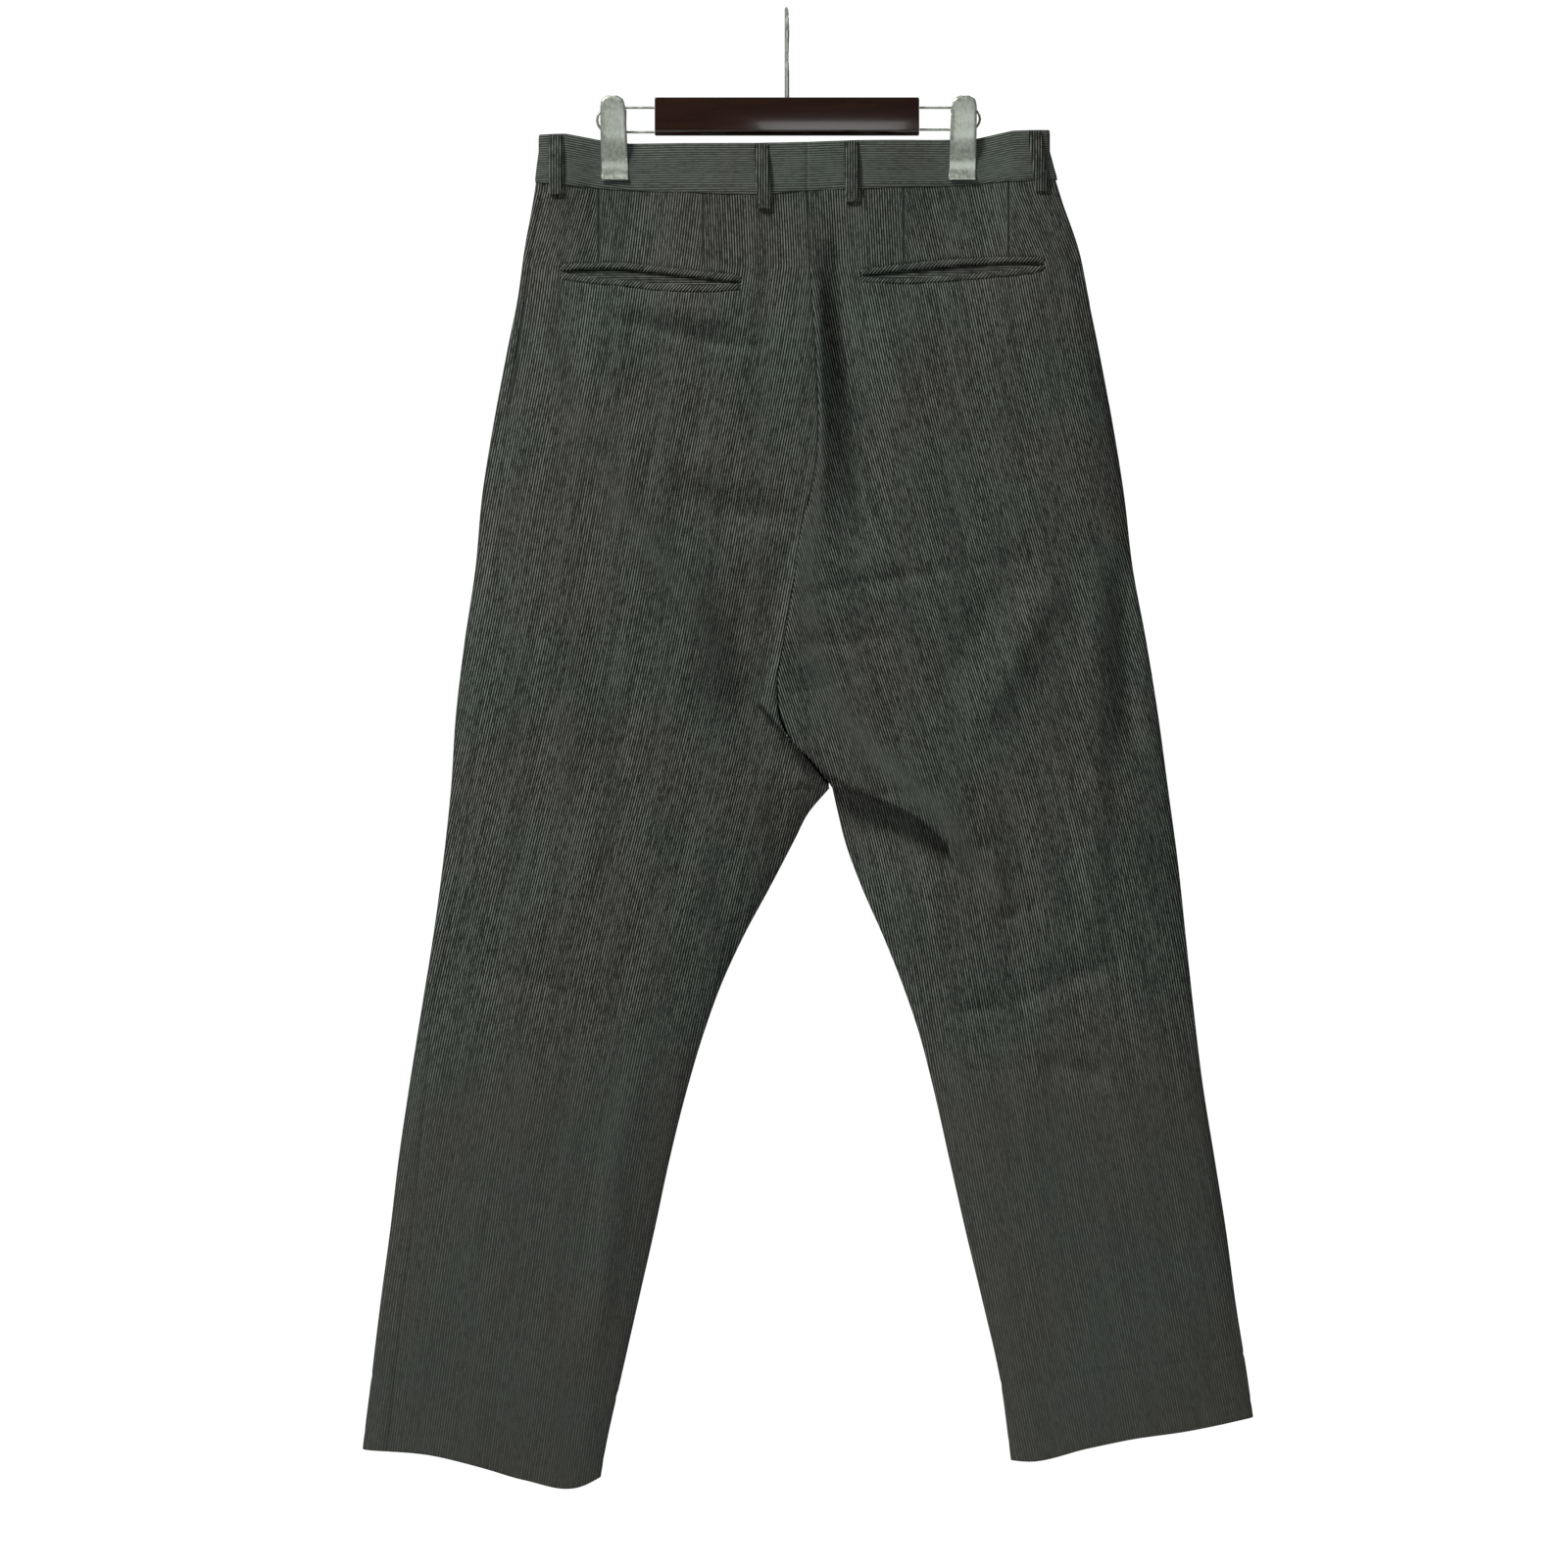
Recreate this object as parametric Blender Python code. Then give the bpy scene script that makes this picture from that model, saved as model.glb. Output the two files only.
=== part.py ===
"""Pleated trousers held by the waistband in a clip hanger.

The back of the trousers faces -Y, +Z is up and the origin is where the hook
bears on its rod. Every piece of cloth is a wall with its own thickness.
Sizes in the tables are millimetres; levels are heights below the hook.
"""
import math
from collections import namedtuple

import bpy
import numpy as np

# Sizes
MM = 0.001
WALL = 1.2
BAND_WALL = 2.2
SEAM_GAP = 0.3
LAID_GAP = 0.55
LAYER = 1.7
BAR_LENGTH = 205.0
BAR_HEIGHT = 29.0
BAR_DEPTH = 16.0
BAR_TOP = -67.0
WIRE = 2.0
HOOK_WIRE = 3.6
HOOK_RADIUS = 18.0
PLATE = 1.2
LOOP_WIDTH = 10.6
LOOP_RISE = 2.3
BUTTON_DIAMETER = 17.0
CROTCH_LEVEL = -601.9
BAND_LEVEL = -139.1
BACK_CLOSING = -400.0
FRONT_CLOSING = -430.0

# Outline
Side = namedtuple("Side", "level left right half_depth left_wrap")
SIDES = (
    Side(-108.7, -190.8, 203.7, 16.0, 6.0),
    Side(-146.7, -196.1, 215.1, 16.5, 6.0),
    Side(-184.7, -202.9, 228.0, 17.5, 6.0),
    Side(-222.7, -208.2, 235.6, 19.0, 6.0),
    Side(-260.7, -215.8, 243.2, 21.0, 8.0),
    Side(-317.7, -226.5, 253.8, 23.0, 10.5),
    Side(-374.7, -235.6, 263.0, 24.5, 15.5),
    Side(-431.7, -240.9, 269.8, 25.0, 18.0),
    Side(-488.7, -249.3, 280.4, 25.0, 19.5),
    Side(-545.7, -256.1, 289.6, 24.0, 19.0),
    Side(-602.7, -259.9, 297.2, 22.5, 16.0),
    Side(-659.7, -266.0, 304.8, 21.0, 14.5),
    Side(-716.7, -273.6, 310.8, 19.5, 12.0),
    Side(-773.7, -282.7, 316.9, 18.5, 9.0),
    Side(-830.7, -291.8, 323.8, 17.5, 13.0),
    Side(-887.7, -300.2, 332.9, 16.5, 16.0),
    Side(-944.7, -307.0, 342.0, 15.5, 17.0),
    Side(-1001.7, -314.6, 349.6, 14.5, 17.5),
    Side(-1058.7, -321.5, 358.7, 13.5, 18.5),
    Side(-1114.2, -328.3, 366.3, 13.0, 19.5),
    Side(-1146.1, -331.4, 370.1, 13.0, 19.5),
)
Inner = namedtuple("Inner", "level left right")
INSEAMS = (
    Inner(-601.9, 35.0, 35.0),
    Inner(-621.7, 18.2, 39.5),
    Inner(-640.7, 8.4, 44.1),
    Inner(-678.7, -11.4, 57.8),
    Inner(-716.7, -31.9, 74.5),
    Inner(-754.7, -49.4, 89.7),
    Inner(-792.7, -63.1, 102.6),
    Inner(-830.7, -74.5, 112.5),
    Inner(-887.7, -88.9, 125.4),
    Inner(-944.7, -101.1, 138.3),
    Inner(-1001.7, -114.0, 152.0),
    Inner(-1058.7, -126.9, 164.9),
    Inner(-1114.2, -139.1, 172.5),
    Inner(-1146.1, -144.4, 176.3),
)
Centre = namedtuple("Centre", "level back front")
CENTRES = (
    Centre(-90.0, 16.5, 16.5),
    Centre(-139.1, 16.7, 16.7),
    Centre(-216.6, 19.8, 18.5),
    Centre(-283.5, 24.3, 20.5),
    Centre(-328.3, 25.1, 22.0),
    Centre(-373.2, 19.8, 23.5),
    Centre(-395.2, 12.9, 24.5),
    Centre(-443.8, 6.1, 26.5),
    Centre(-477.3, 0.8, 28.0),
    Centre(-522.9, -6.0, 30.5),
    Centre(-545.7, -3.0, 31.8),
    Centre(-568.5, 9.9, 33.0),
    Centre(-601.9, 35.0, 35.0),
)
Edge = namedtuple("Edge", "x top bottom")
BAND_EDGES = (
    Edge(-195.3, -95.8, -132.2),
    Edge(-171.0, -95.0, -134.6),
    Edge(-145.9, -99.6, -136.9),
    Edge(-121.6, -102.6, -138.7),
    Edge(-25.1, -102.6, -142.4),
    Edge(16.0, -101.8, -139.1),
    Edge(55.5, -100.3, -137.6),
    Edge(126.9, -99.6, -134.9),
    Edge(148.2, -98.8, -133.4),
    Edge(176.3, -92.7, -131.4),
    Edge(203.7, -92.0, -130.2),
    Edge(215.0, -92.0, -131.0),
)
Hem = namedtuple("Hem", "across left right")
HEMS = (
    Hem(0.00, -1135.4, -1122.5),
    Hem(0.07, -1142.0, -1123.3),
    Hem(0.32, -1137.0, -1112.5),
    Hem(0.50, -1127.5, -1105.5),
    Hem(0.72, -1118.0, -1099.5),
    Hem(1.00, -1114.2, -1089.1),
)

# Levels
LEVELS = (
    -139.1, -153.0, -169.0, -188.0, -204.0, -222.5, -247.0, -275.9, -310.1, -344.3,
    -378.5, -408.9, -437.0, -464.0, -489.0, -511.0, -531.0, -550.0, -568.5,
    -586.0, -601.9, -619.0, -638.0, -660.0, -687.0, -718.0, -753.0, -791.0,
    -832.0, -877.0, -922.0, -968.0, -1010.0, -1048.0, -1078.0, -1098.0, -1114.2,
)
BACK_COLUMNS = (0.0, 0.02, 0.06, 0.125, 0.2, 0.29, 0.39, 0.5, 0.61, 0.72, 0.82, 0.9, 0.955, 0.985, 1.0)
FRONT_COLUMNS = (0.0, 0.02, 0.06, 0.13, 0.58, 0.68, 0.78, 0.87, 0.935, 0.98, 1.0)
BAND_INSIDE = (0.0, 0.25, 0.5, 0.72, 0.88, 1.0)
BAND_OUTSIDE = (0.0, 0.25, 0.5, 0.75, 0.9, 0.97, 1.0)

# Pleats
Pleat = namedtuple("Pleat", "name left right take_up length")
PLEATS = (
    Pleat("main", 0.34, 0.27, 15.0, 215.0),
    Pleat("side", 0.49, 0.43, 11.0, 150.0),
)

# Folds
Fold = namedtuple("Fold", "name x0 level0 x1 level1 width depth")
BACK_FOLDS = (
    Fold("seat trough", 43.3, -190.0, 46.5, -318.0, 15.0, 6.5),
    Fold("seat trough foot", 46.5, -318.0, 59.0, -396.0, 15.0, 5.0),
    Fold("left seat ridge", -10.0, -250.0, -22.0, -480.0, 26.0, -4.0),
    Fold("right seat ridge", 78.0, -230.0, 92.0, -400.0, 24.0, -3.5),
    Fold("left pocket crease", -123.0, -243.0, -30.0, -262.0, 11.0, 3.0),
    Fold("left side hollow", -174.0, -225.0, -160.0, -322.0, 13.0, 2.5),
    Fold("left thigh ridge", -92.0, -438.0, -58.0, -505.0, 18.0, -3.0),
    Fold("crotch hollow", -38.0, -480.0, -20.0, -585.0, 20.0, 7.0),
    Fold("right seat crease", 28.0, -452.0, 106.0, -438.0, 10.0, 2.5),
    Fold("right thigh ridge", 197.0, -446.0, 155.0, -526.0, 22.0, -4.0),
    Fold("right side ridge", 242.0, -438.0, 240.0, -710.0, 16.0, -3.5),
    Fold("right side hollow", 265.0, -420.0, 268.0, -575.0, 13.0, 3.0),
    Fold("right knee crease", 130.0, -778.0, 255.0, -736.0, 12.0, 2.5),
    Fold("right calf crease", 200.0, -814.0, 248.0, -826.0, 12.0, 2.0),
    Fold("left knee crease", -238.0, -735.0, -150.0, -772.0, 14.0, 2.0),
    Fold("left calf ridge", -118.0, -815.0, -152.0, -1040.0, 12.0, -2.0),
)
FRONT_FOLDS = (
    Fold("left crease", -85.0, -330.0, -232.0, -1125.0, 9.0, 3.0),
    Fold("right crease", 128.0, -330.0, 272.0, -1105.0, 9.0, 3.0),
    Fold("left billow", -92.0, -230.0, -96.0, -420.0, 26.0, 4.0),
    Fold("right billow", 118.0, -230.0, 126.0, -420.0, 26.0, 4.0),
    Fold("left lap hollow", -28.0, -440.0, 16.0, -575.0, 22.0, -5.0),
    Fold("right lap hollow", 88.0, -450.0, 52.0, -575.0, 22.0, -5.0),
    Fold("left knee crease", -250.0, -750.0, -160.0, -785.0, 14.0, -2.5),
    Fold("right knee crease", 160.0, -800.0, 265.0, -760.0, 14.0, -2.5),
)
Crest = namedtuple("Crest", "x level out under")
CROTCH_FOLD = (
    Crest(6.0, -400.0, 0.0, 0.0),
    Crest(4.5, -430.0, 3.0, 2.0),
    Crest(-3.5, -465.0, 7.0, 4.0),
    Crest(-7.5, -500.0, 10.0, 6.0),
    Crest(-18.0, -532.0, 12.0, 7.0),
    Crest(1.5, -558.0, 12.0, 7.0),
    Crest(32.7, -586.0, 11.0, 7.0),
    Crest(66.9, -603.0, 10.0, 8.0),
    Crest(98.0, -622.0, 8.0, 7.0),
    Crest(118.0, -642.0, 5.0, 4.0),
    Crest(135.0, -676.0, 0.0, 0.0),
)
FOLD_STEP = 9.0
FOLD_REACH = 48.0

# Hanger
LEFT_CLIP = -133.5
RIGHT_CLIP = 137.5
CLIP_TOP = -66.0
CLIP_FOOT = -130.5
WIRE_TOP = -74.5
LEFT_WIRE_FOOT = -93.5
RIGHT_WIRE_FOOT = -91.5

# Pockets
Mouth = namedtuple("Mouth", "across top lens_top lens_foot foot")
LEFT_POCKET = (
    Mouth(-174.8, -194.8, -200.2, -200.9, -205.9),
    Mouth(-148.0, -195.1, -200.6, -204.6, -209.8),
    Mouth(-121.6, -196.2, -201.4, -207.8, -213.2),
    Mouth(-95.0, -199.2, -204.3, -210.6, -215.8),
    Mouth(-69.2, -203.2, -208.3, -212.6, -217.6),
    Mouth(-32.7, -209.9, -214.6, -215.2, -219.0),
)
RIGHT_POCKET = (
    Mouth(58.5, -200.9, -205.6, -206.4, -210.4),
    Mouth(90.4, -199.0, -203.8, -207.0, -211.8),
    Mouth(131.5, -196.0, -200.8, -204.4, -209.2),
    Mouth(168.0, -193.2, -197.6, -201.4, -206.2),
    Mouth(201.4, -190.6, -195.4, -196.2, -200.6),
)


def remove_all():
    for thing in list(bpy.data.objects):
        bpy.data.objects.remove(thing, do_unlink=True)


def smooth(value):
    value = np.clip(value, 0.0, 1.0)
    return value * value * (3.0 - 2.0 * value)


def through(at, knots, values):
    """A soft curve through the rows of a table."""
    knots = np.asarray(knots, float)
    values = np.asarray(values, float)
    if knots[0] > knots[-1]:
        knots = knots[::-1]
        values = values[::-1]
    slopes = np.gradient(values, knots)
    at = np.clip(np.asarray(at, float), knots[0], knots[-1])
    low = np.clip(np.searchsorted(knots, at, side="right") - 1, 0, len(knots) - 2)
    span = knots[low + 1] - knots[low]
    t = (at - knots[low]) / span
    near = values[low]
    far = values[low + 1]
    return (
        near * (1 + 2 * t) * (1 - t) ** 2
        + slopes[low] * span * t * (1 - t) ** 2
        + far * t * t * (3 - 2 * t)
        + slopes[low + 1] * span * t * t * (t - 1)
    )


def column(rows, name):
    return [getattr(row, name) for row in rows]


def side_edge(leg, level):
    return through(level, column(SIDES, "level"), column(SIDES, leg))


def half_depth(level):
    return through(level, column(SIDES, "level"), column(SIDES, "half_depth"))


def inner_edge(leg, face, level):
    above = through(level, column(CENTRES, "level"), column(CENTRES, face))
    below = through(level, column(INSEAMS, "level"), column(INSEAMS, leg))
    return np.where(level > CROTCH_LEVEL, above, below)


def band_top(x):
    return np.interp(x, column(BAND_EDGES, "x"), column(BAND_EDGES, "top"))


def band_foot(x):
    return np.interp(x, column(BAND_EDGES, "x"), column(BAND_EDGES, "bottom"))


def band_spread(x):
    """How far the band's middle stands from the plane of the hanger."""
    past_left = np.maximum(np.abs(x - LEFT_CLIP) - 13.0, 0.0)
    past_right = np.maximum(np.abs(x - RIGHT_CLIP) - 13.0, 0.0)
    near = np.minimum(past_left, past_right)
    between = (x > LEFT_CLIP) & (x < RIGHT_CLIP)
    most = np.where(between, 7.0, 4.0)
    reach = np.where(between, 34.0, 16.0)
    return BAND_WALL / 2 + SEAM_GAP / 2 + most * (1.0 - np.exp(-((near / reach) ** 2)))


def lens(across, power):
    return np.sqrt(np.maximum(1.0 - np.clip(across, 0.0, 1.0) ** power, 0.0))


def closing(face, level):
    """One above the crotch curve, falling to nothing at the crotch."""
    start = BACK_CLOSING if face == "back" else FRONT_CLOSING
    down = np.clip((start - level) / (start - CROTCH_LEVEL), 0.0, 1.0)
    return np.sqrt(np.maximum(1.0 - down ** 2.0, 0.0))


def fold_rows(rows, x, level):
    """Soft troughs and ridges along straight lines, fading at both ends."""
    total = np.zeros_like(x)
    for row in rows:
        run = math.hypot(row.x1 - row.x0, row.level1 - row.level0)
        ux = (row.x1 - row.x0) / run
        uz = (row.level1 - row.level0) / run
        along = ((x - row.x0) * ux + (level - row.level0) * uz) / run
        off = (x - row.x0) * uz - (level - row.level0) * ux
        ends = smooth((along + 0.12) / 0.3) * smooth((1.12 - along) / 0.3)
        total += row.depth * ends * np.exp(-((off / row.width) ** 2))
    return total


def crotch_fold(x, level):
    """The seat rolls out over the fork along one crest."""
    best = np.full_like(x, 1e9)
    signed = np.zeros_like(x)
    out = np.zeros_like(x)
    under = np.zeros_like(x)
    for first, second in zip(CROTCH_FOLD[:-1], CROTCH_FOLD[1:]):
        dx = second.x - first.x
        dz = second.level - first.level
        run = math.hypot(dx, dz)
        t = np.clip(((x - first.x) * dx + (level - first.level) * dz) / run ** 2, 0.0, 1.0)
        gap = np.hypot(x - first.x - t * dx, level - first.level - t * dz)
        turn = (x - first.x) * dz - (level - first.level) * dx
        nearer = gap < best
        best = np.where(nearer, gap, best)
        signed = np.where(nearer, -np.sign(turn) * gap, signed)
        out = np.where(nearer, first.out + (second.out - first.out) * t, out)
        under = np.where(nearer, first.under + (second.under - first.under) * t, under)
    step = smooth(signed / FOLD_STEP + 0.5)
    fade = np.exp(-((signed / FOLD_REACH) ** 2))
    return -out * step * fade, under * (1.0 - step) * fade


def surface(leg, turn, level):
    """A point of the cloth's middle: turn 0 is the inner edge of the back,
    1 the side and 2 the inner edge of the front."""
    turn = np.asarray(turn, float)
    level = np.asarray(level, float)
    across = 1.0 - np.abs(1.0 - turn)
    back = turn < 1.0
    x_mid = np.where(
        back,
        inner_edge(leg, "back", level),
        inner_edge(leg, "front", level),
    )
    x_mid = x_mid + (side_edge(leg, level) - x_mid) * across
    fade_top = 1.0 - smooth((BAND_LEVEL - level) / 70.0)
    lift = (band_foot(x_mid) - SEAM_GAP - BAND_LEVEL) * fade_top
    inner = np.where(back, inner_edge(leg, "back", level), inner_edge(leg, "front", level))
    x_mid = inner + (side_edge(leg, level + lift) - inner) * across
    lift = (band_foot(x_mid) - SEAM_GAP - BAND_LEVEL) * fade_top
    drop = through(across, column(HEMS, "across"), column(HEMS, leg)) - LEVELS[-1]
    z = level + lift + drop * smooth((-960.0 - level) / (-960.0 - LEVELS[-1]))
    inner = np.where(back, inner_edge(leg, "back", z), inner_edge(leg, "front", z))
    x = inner + (side_edge(leg, z) - inner) * across
    shut = np.where(back, closing("back", level), closing("front", level))
    start = np.where(back, BACK_CLOSING, FRONT_CLOSING)
    gate = smooth((start + 28.0 - level) / 28.0) * smooth((level - CROTCH_LEVEL + 30.0) / 30.0)
    aside = (WALL / 2 + SEAM_GAP / 2 + 0.15) * gate * (1.0 - across) ** 6
    x = x + np.where(leg == "left", -aside, aside)
    near_side = lens((across - 0.5) / 0.5, 2.3)
    near_inner = shut + (1.0 - shut) * lens((0.5 - across) / 0.5, 2.3)
    depth = near_side * near_inner
    leg_y = half_depth(level) * depth
    band_y = band_spread(x) * lens(across, 14.0)
    blend = smooth((BAND_LEVEL - level) / 120.0)
    y = band_y * (1.0 - blend) + leg_y * blend
    fade = smooth(depth * 1.6) * smooth((BAND_LEVEL - level) / 60.0)
    hem_fade = smooth((level + 1175.0) / 90.0)
    back_folds = fold_rows(BACK_FOLDS, x, z) * fade * hem_fade
    out, under = crotch_fold(x, z)
    back_folds = back_folds + out * smooth(depth * 4.0) + under * depth ** 2
    front_folds = fold_rows(FRONT_FOLDS, x, z) * fade * hem_fade
    y = np.where(back, -y + back_folds, y + front_folds)
    return np.stack([x, y, z], axis=-1)


def facing_out(leg, turn, level):
    """The cloth's outward direction at a point."""
    step = np.where(np.abs(1.0 - turn) > 1.0 - 1e-6, 2e-5, 2e-3)
    drop = 0.5
    back_turn = np.clip(turn - step, 0.0, 2.0)
    next_turn = np.clip(turn + step, 0.0, 2.0)
    low = np.maximum(level - drop, LEVELS[-1])
    high = np.minimum(level + drop, BAND_LEVEL)
    along = surface(leg, next_turn, level) - surface(leg, back_turn, level)
    down = surface(leg, turn, low) - surface(leg, turn, high)
    out = np.cross(along, down)
    if leg == "right":
        out = -out
    return out / np.maximum(np.linalg.norm(out, axis=-1, keepdims=True), 1e-9)


def side_turn(leg, level):
    if leg == "right":
        return np.ones_like(level)
    width = side_edge(leg, level) - inner_edge(leg, "back", level)
    wrap = through(level, column(SIDES, "level"), column(SIDES, "left_wrap"))
    return 1.0 - wrap / np.abs(width)


def pull_in(leg, points, turn, level):
    """Half a seam gap taken off both long edges, along the cloth."""
    points = points.copy()
    for edge in (0, -1):
        inward = 2e-5 if turn[0, edge] < turn[0, -1 - edge] else -2e-5
        here = surface(leg, turn[:, edge], level[:, edge])
        way = surface(leg, turn[:, edge] + inward, level[:, edge]) - here
        way = way / np.linalg.norm(way, axis=-1, keepdims=True)
        points[:, edge] += way * SEAM_GAP / 2
    return points


def back_panel(leg):
    level = np.array(LEVELS)[:, None] + np.zeros(len(BACK_COLUMNS))
    turn = np.array(BACK_COLUMNS) * side_turn(leg, level)
    points = surface(leg, turn, level)
    return pull_in(leg, points, turn, level), facing_out(leg, turn, level)


def pleat_nodes(leg):
    """Places across the front, with the pleats' layers between them.

    Each row holds the plain place, the pleat it belongs to, its offset from
    the fold line when folded and when open, and its layer."""
    nodes = [(place, None, 0.0, 0.0, 0.0) for place in FRONT_COLUMNS]
    for pleat in PLEATS:
        take = pleat.take_up
        folded = (-take - 5.0, -0.9, 0.0, -0.9, -take + 0.9, -take, -take + 0.9, 4.5)
        opened = (-15.0, -9.5, -6.0, -2.5, 1.0, 4.5, 8.0, 14.0)
        layers = (0.0, 0.0, 0.5, 1.0, 1.0, 1.5, 2.0, 2.0)
        for index in range(8):
            key = getattr(pleat, leg) + 0.0001 * index
            nodes.append((key, pleat, folded[index], opened[index], layers[index]))
    nodes.sort(key=lambda node: node[0])
    return nodes


def front_panel(leg):
    nodes = pleat_nodes(leg)
    levels = np.array(LEVELS)
    width = np.abs(side_edge(leg, levels) - inner_edge(leg, "front", levels))
    turns = []
    layers = []
    for place, pleat, folded, opened, layer in nodes:
        if pleat is None:
            turns.append(2.0 - np.full_like(levels, place))
            layers.append(np.zeros_like(levels))
            continue
        open_up = np.clip((BAND_LEVEL - levels) / pleat.length, 0.0, 1.0)
        slide = smooth(open_up / 0.75)
        offset = folded + (opened - folded) * slide
        across = getattr(pleat, leg) + offset / width
        turns.append(2.0 - across)
        layers.append(layer * (1.0 - smooth((open_up - 0.62) / 0.38)))
    if leg == "left":
        last = side_turn(leg, levels)
        for part in (0.35, 0.7, 1.0):
            turns.append(1.0 + (last - 1.0) * part)
            layers.append(np.zeros_like(levels))
    turn = np.stack(turns, axis=1)
    layer = np.stack(layers, axis=1)
    level = levels[:, None] + np.zeros(turn.shape[1])
    points = surface(leg, turn, level)
    out = facing_out(leg, turn, level)
    points = points - out * (layer * LAYER)[..., None]
    folded_out = grid_out(points, leg == "right")
    busy = (layer > 0.01)[..., None] | (np.roll(layer, -1, axis=1) > 0.01)[..., None]
    out = np.where(busy, folded_out, out)
    return pull_in(leg, points, turn, level), out


def grid_out(points, flip):
    """Outward directions read from a grid of points."""
    forward = np.diff(points, axis=1)
    forward /= np.maximum(np.linalg.norm(forward, axis=-1, keepdims=True), 1e-9)
    along = np.zeros_like(points)
    along[:, 1:] += forward
    along[:, :-1] += forward
    down = np.gradient(points, axis=0)
    out = np.cross(along, down)
    if not flip:
        out = -out
    return out / np.maximum(np.linalg.norm(out, axis=-1, keepdims=True), 1e-9)


def wall(points, out, thickness, lift=0.0):
    """Two skins of cloth either side of a grid of points."""
    half = thickness / 2
    return points + out * (lift + half), points + out * (lift - half)


def solid(name, outer, inner, material):
    """One closed body from the outer and inner skins of a grid."""
    rows, cols = outer.shape[:2]
    points = np.concatenate([outer.reshape(-1, 3), inner.reshape(-1, 3)]) * MM
    shift = rows * cols
    faces = []
    for r in range(rows - 1):
        for c in range(cols - 1):
            a = r * cols + c
            b = a + 1
            e = b + cols
            f = a + cols
            faces.append((a, b, e, f))
            faces.append((shift + a, shift + f, shift + e, shift + b))
    end = (rows - 1) * cols
    for c in range(cols - 1):
        faces.append((c, shift + c, shift + c + 1, c + 1))
        faces.append((end + c, end + c + 1, shift + end + c + 1, shift + end + c))
    for r in range(rows - 1):
        a = r * cols
        b = a + cols
        faces.append((a, b, shift + b, shift + a))
        a += cols - 1
        b += cols - 1
        faces.append((a, shift + a, shift + b, b))
    return make(name, points, faces, material)


def make(name, points, faces, material):
    mesh = bpy.data.meshes.new(name)
    mesh.from_pydata([tuple(p) for p in points], [], faces)
    mesh.validate()
    volume = 0.0
    for face in mesh.polygons:
        corners = [np.array(mesh.vertices[i].co) for i in face.vertices]
        for i in range(1, len(corners) - 1):
            volume += np.dot(corners[0], np.cross(corners[i], corners[i + 1]))
    if volume < 0:
        mesh.flip_normals()
    mesh.materials.append(material)
    thing = bpy.data.objects.new(name, mesh)
    bpy.context.scene.collection.objects.link(thing)
    return thing


def paint(name, colour, rough, metal=0.0):
    material = bpy.data.materials.new(name)
    material.use_nodes = True
    shader = material.node_tree.nodes["Principled BSDF"]
    shader.inputs["Base Color"].default_value = (*colour, 1.0)
    shader.inputs["Roughness"].default_value = rough
    shader.inputs["Metallic"].default_value = metal
    return material


def cloth(name):
    return paint(name, (0.05, 0.055, 0.048), 0.85)


# Waistband
def band_half(leg):
    """Half the band, from the centre back round the side to the front."""
    middle = 16.6
    way = -1.0 if leg == "left" else 1.0
    clip = LEFT_CLIP if leg == "left" else RIGHT_CLIP
    width = abs(float(side_edge(leg, -115.0)) - middle)
    near = (abs(clip - middle) - 15.0) / width
    far = (abs(clip - middle) + 15.0) / width
    places = [near * part for part in BAND_INSIDE]
    places += [far + (1.0 - far) * part for part in BAND_OUTSIDE]
    turn = np.array(places + [2.0 - place for place in reversed(places[:-1])])
    across = 1.0 - np.abs(1.0 - turn)
    rows = np.array([0.0, 0.5, 1.0])[:, None]
    x = middle + way * width * across + 0.0 * rows
    z = band_top(x) + (band_foot(x) - band_top(x)) * rows
    x = middle + (side_edge(leg, z) - middle) * across
    z = band_top(x) + (band_foot(x) - band_top(x)) * rows
    y = band_spread(x) * lens(across, 14.0)
    y = np.where(turn < 1.0, -y, y)
    points = np.stack([x, y, z], axis=-1)
    points[:, 0, 0] += way * SEAM_GAP / 2
    ends = ((-34.0, 0.0), (-22.0, 1.0), (4.0, 1.0), (18.0, 1.0))
    if leg == "right":
        ends = ((0.0, 0.0), (-16.0, 0.0))
    tail = []
    for off, layer in ends:
        line = points[:, -1].copy()
        line[:, 0] = middle + off
        line[:, 1] = band_spread(line[:, 0]) + layer * (BAND_WALL + SEAM_GAP + 0.15)
        tail.append(line)
    kept = points[:, :-2] if leg == "left" else points[:, :-1]
    points = np.concatenate([kept, np.stack(tail, axis=1)], axis=1)
    return points, grid_out(points, leg == "left")


def tube(path, radius, sides=8):
    """Rings round a path, for wires and rods."""
    path = np.asarray(path, float)
    tangent = np.gradient(path, axis=0)
    tangent /= np.linalg.norm(tangent, axis=1, keepdims=True)
    across = np.array([1.0, 0.0, 0.0])
    if abs(tangent[0][0]) > 0.9:
        across = np.array([0.0, 1.0, 0.0])
    rings = []
    for point, way in zip(path, tangent):
        first = across - way * np.dot(across, way)
        first /= np.linalg.norm(first)
        second = np.cross(way, first)
        angles = [math.tau * i / sides for i in range(sides)]
        rings.append([point + radius * (math.cos(a) * first + math.sin(a) * second) for a in angles])
    return np.array(rings)


def rod(name, path, radius, material, sides=8):
    rings = tube(path, radius, sides)
    count = len(rings)
    points = rings.reshape(-1, 3) * MM
    faces = []
    for r in range(count - 1):
        for s in range(sides):
            t = (s + 1) % sides
            faces.append((r * sides + s, r * sides + t, (r + 1) * sides + t, (r + 1) * sides + s))
    faces.append(tuple(reversed(range(sides))))
    faces.append(tuple((count - 1) * sides + s for s in range(sides)))
    return make(name, points, faces, material)


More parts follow.
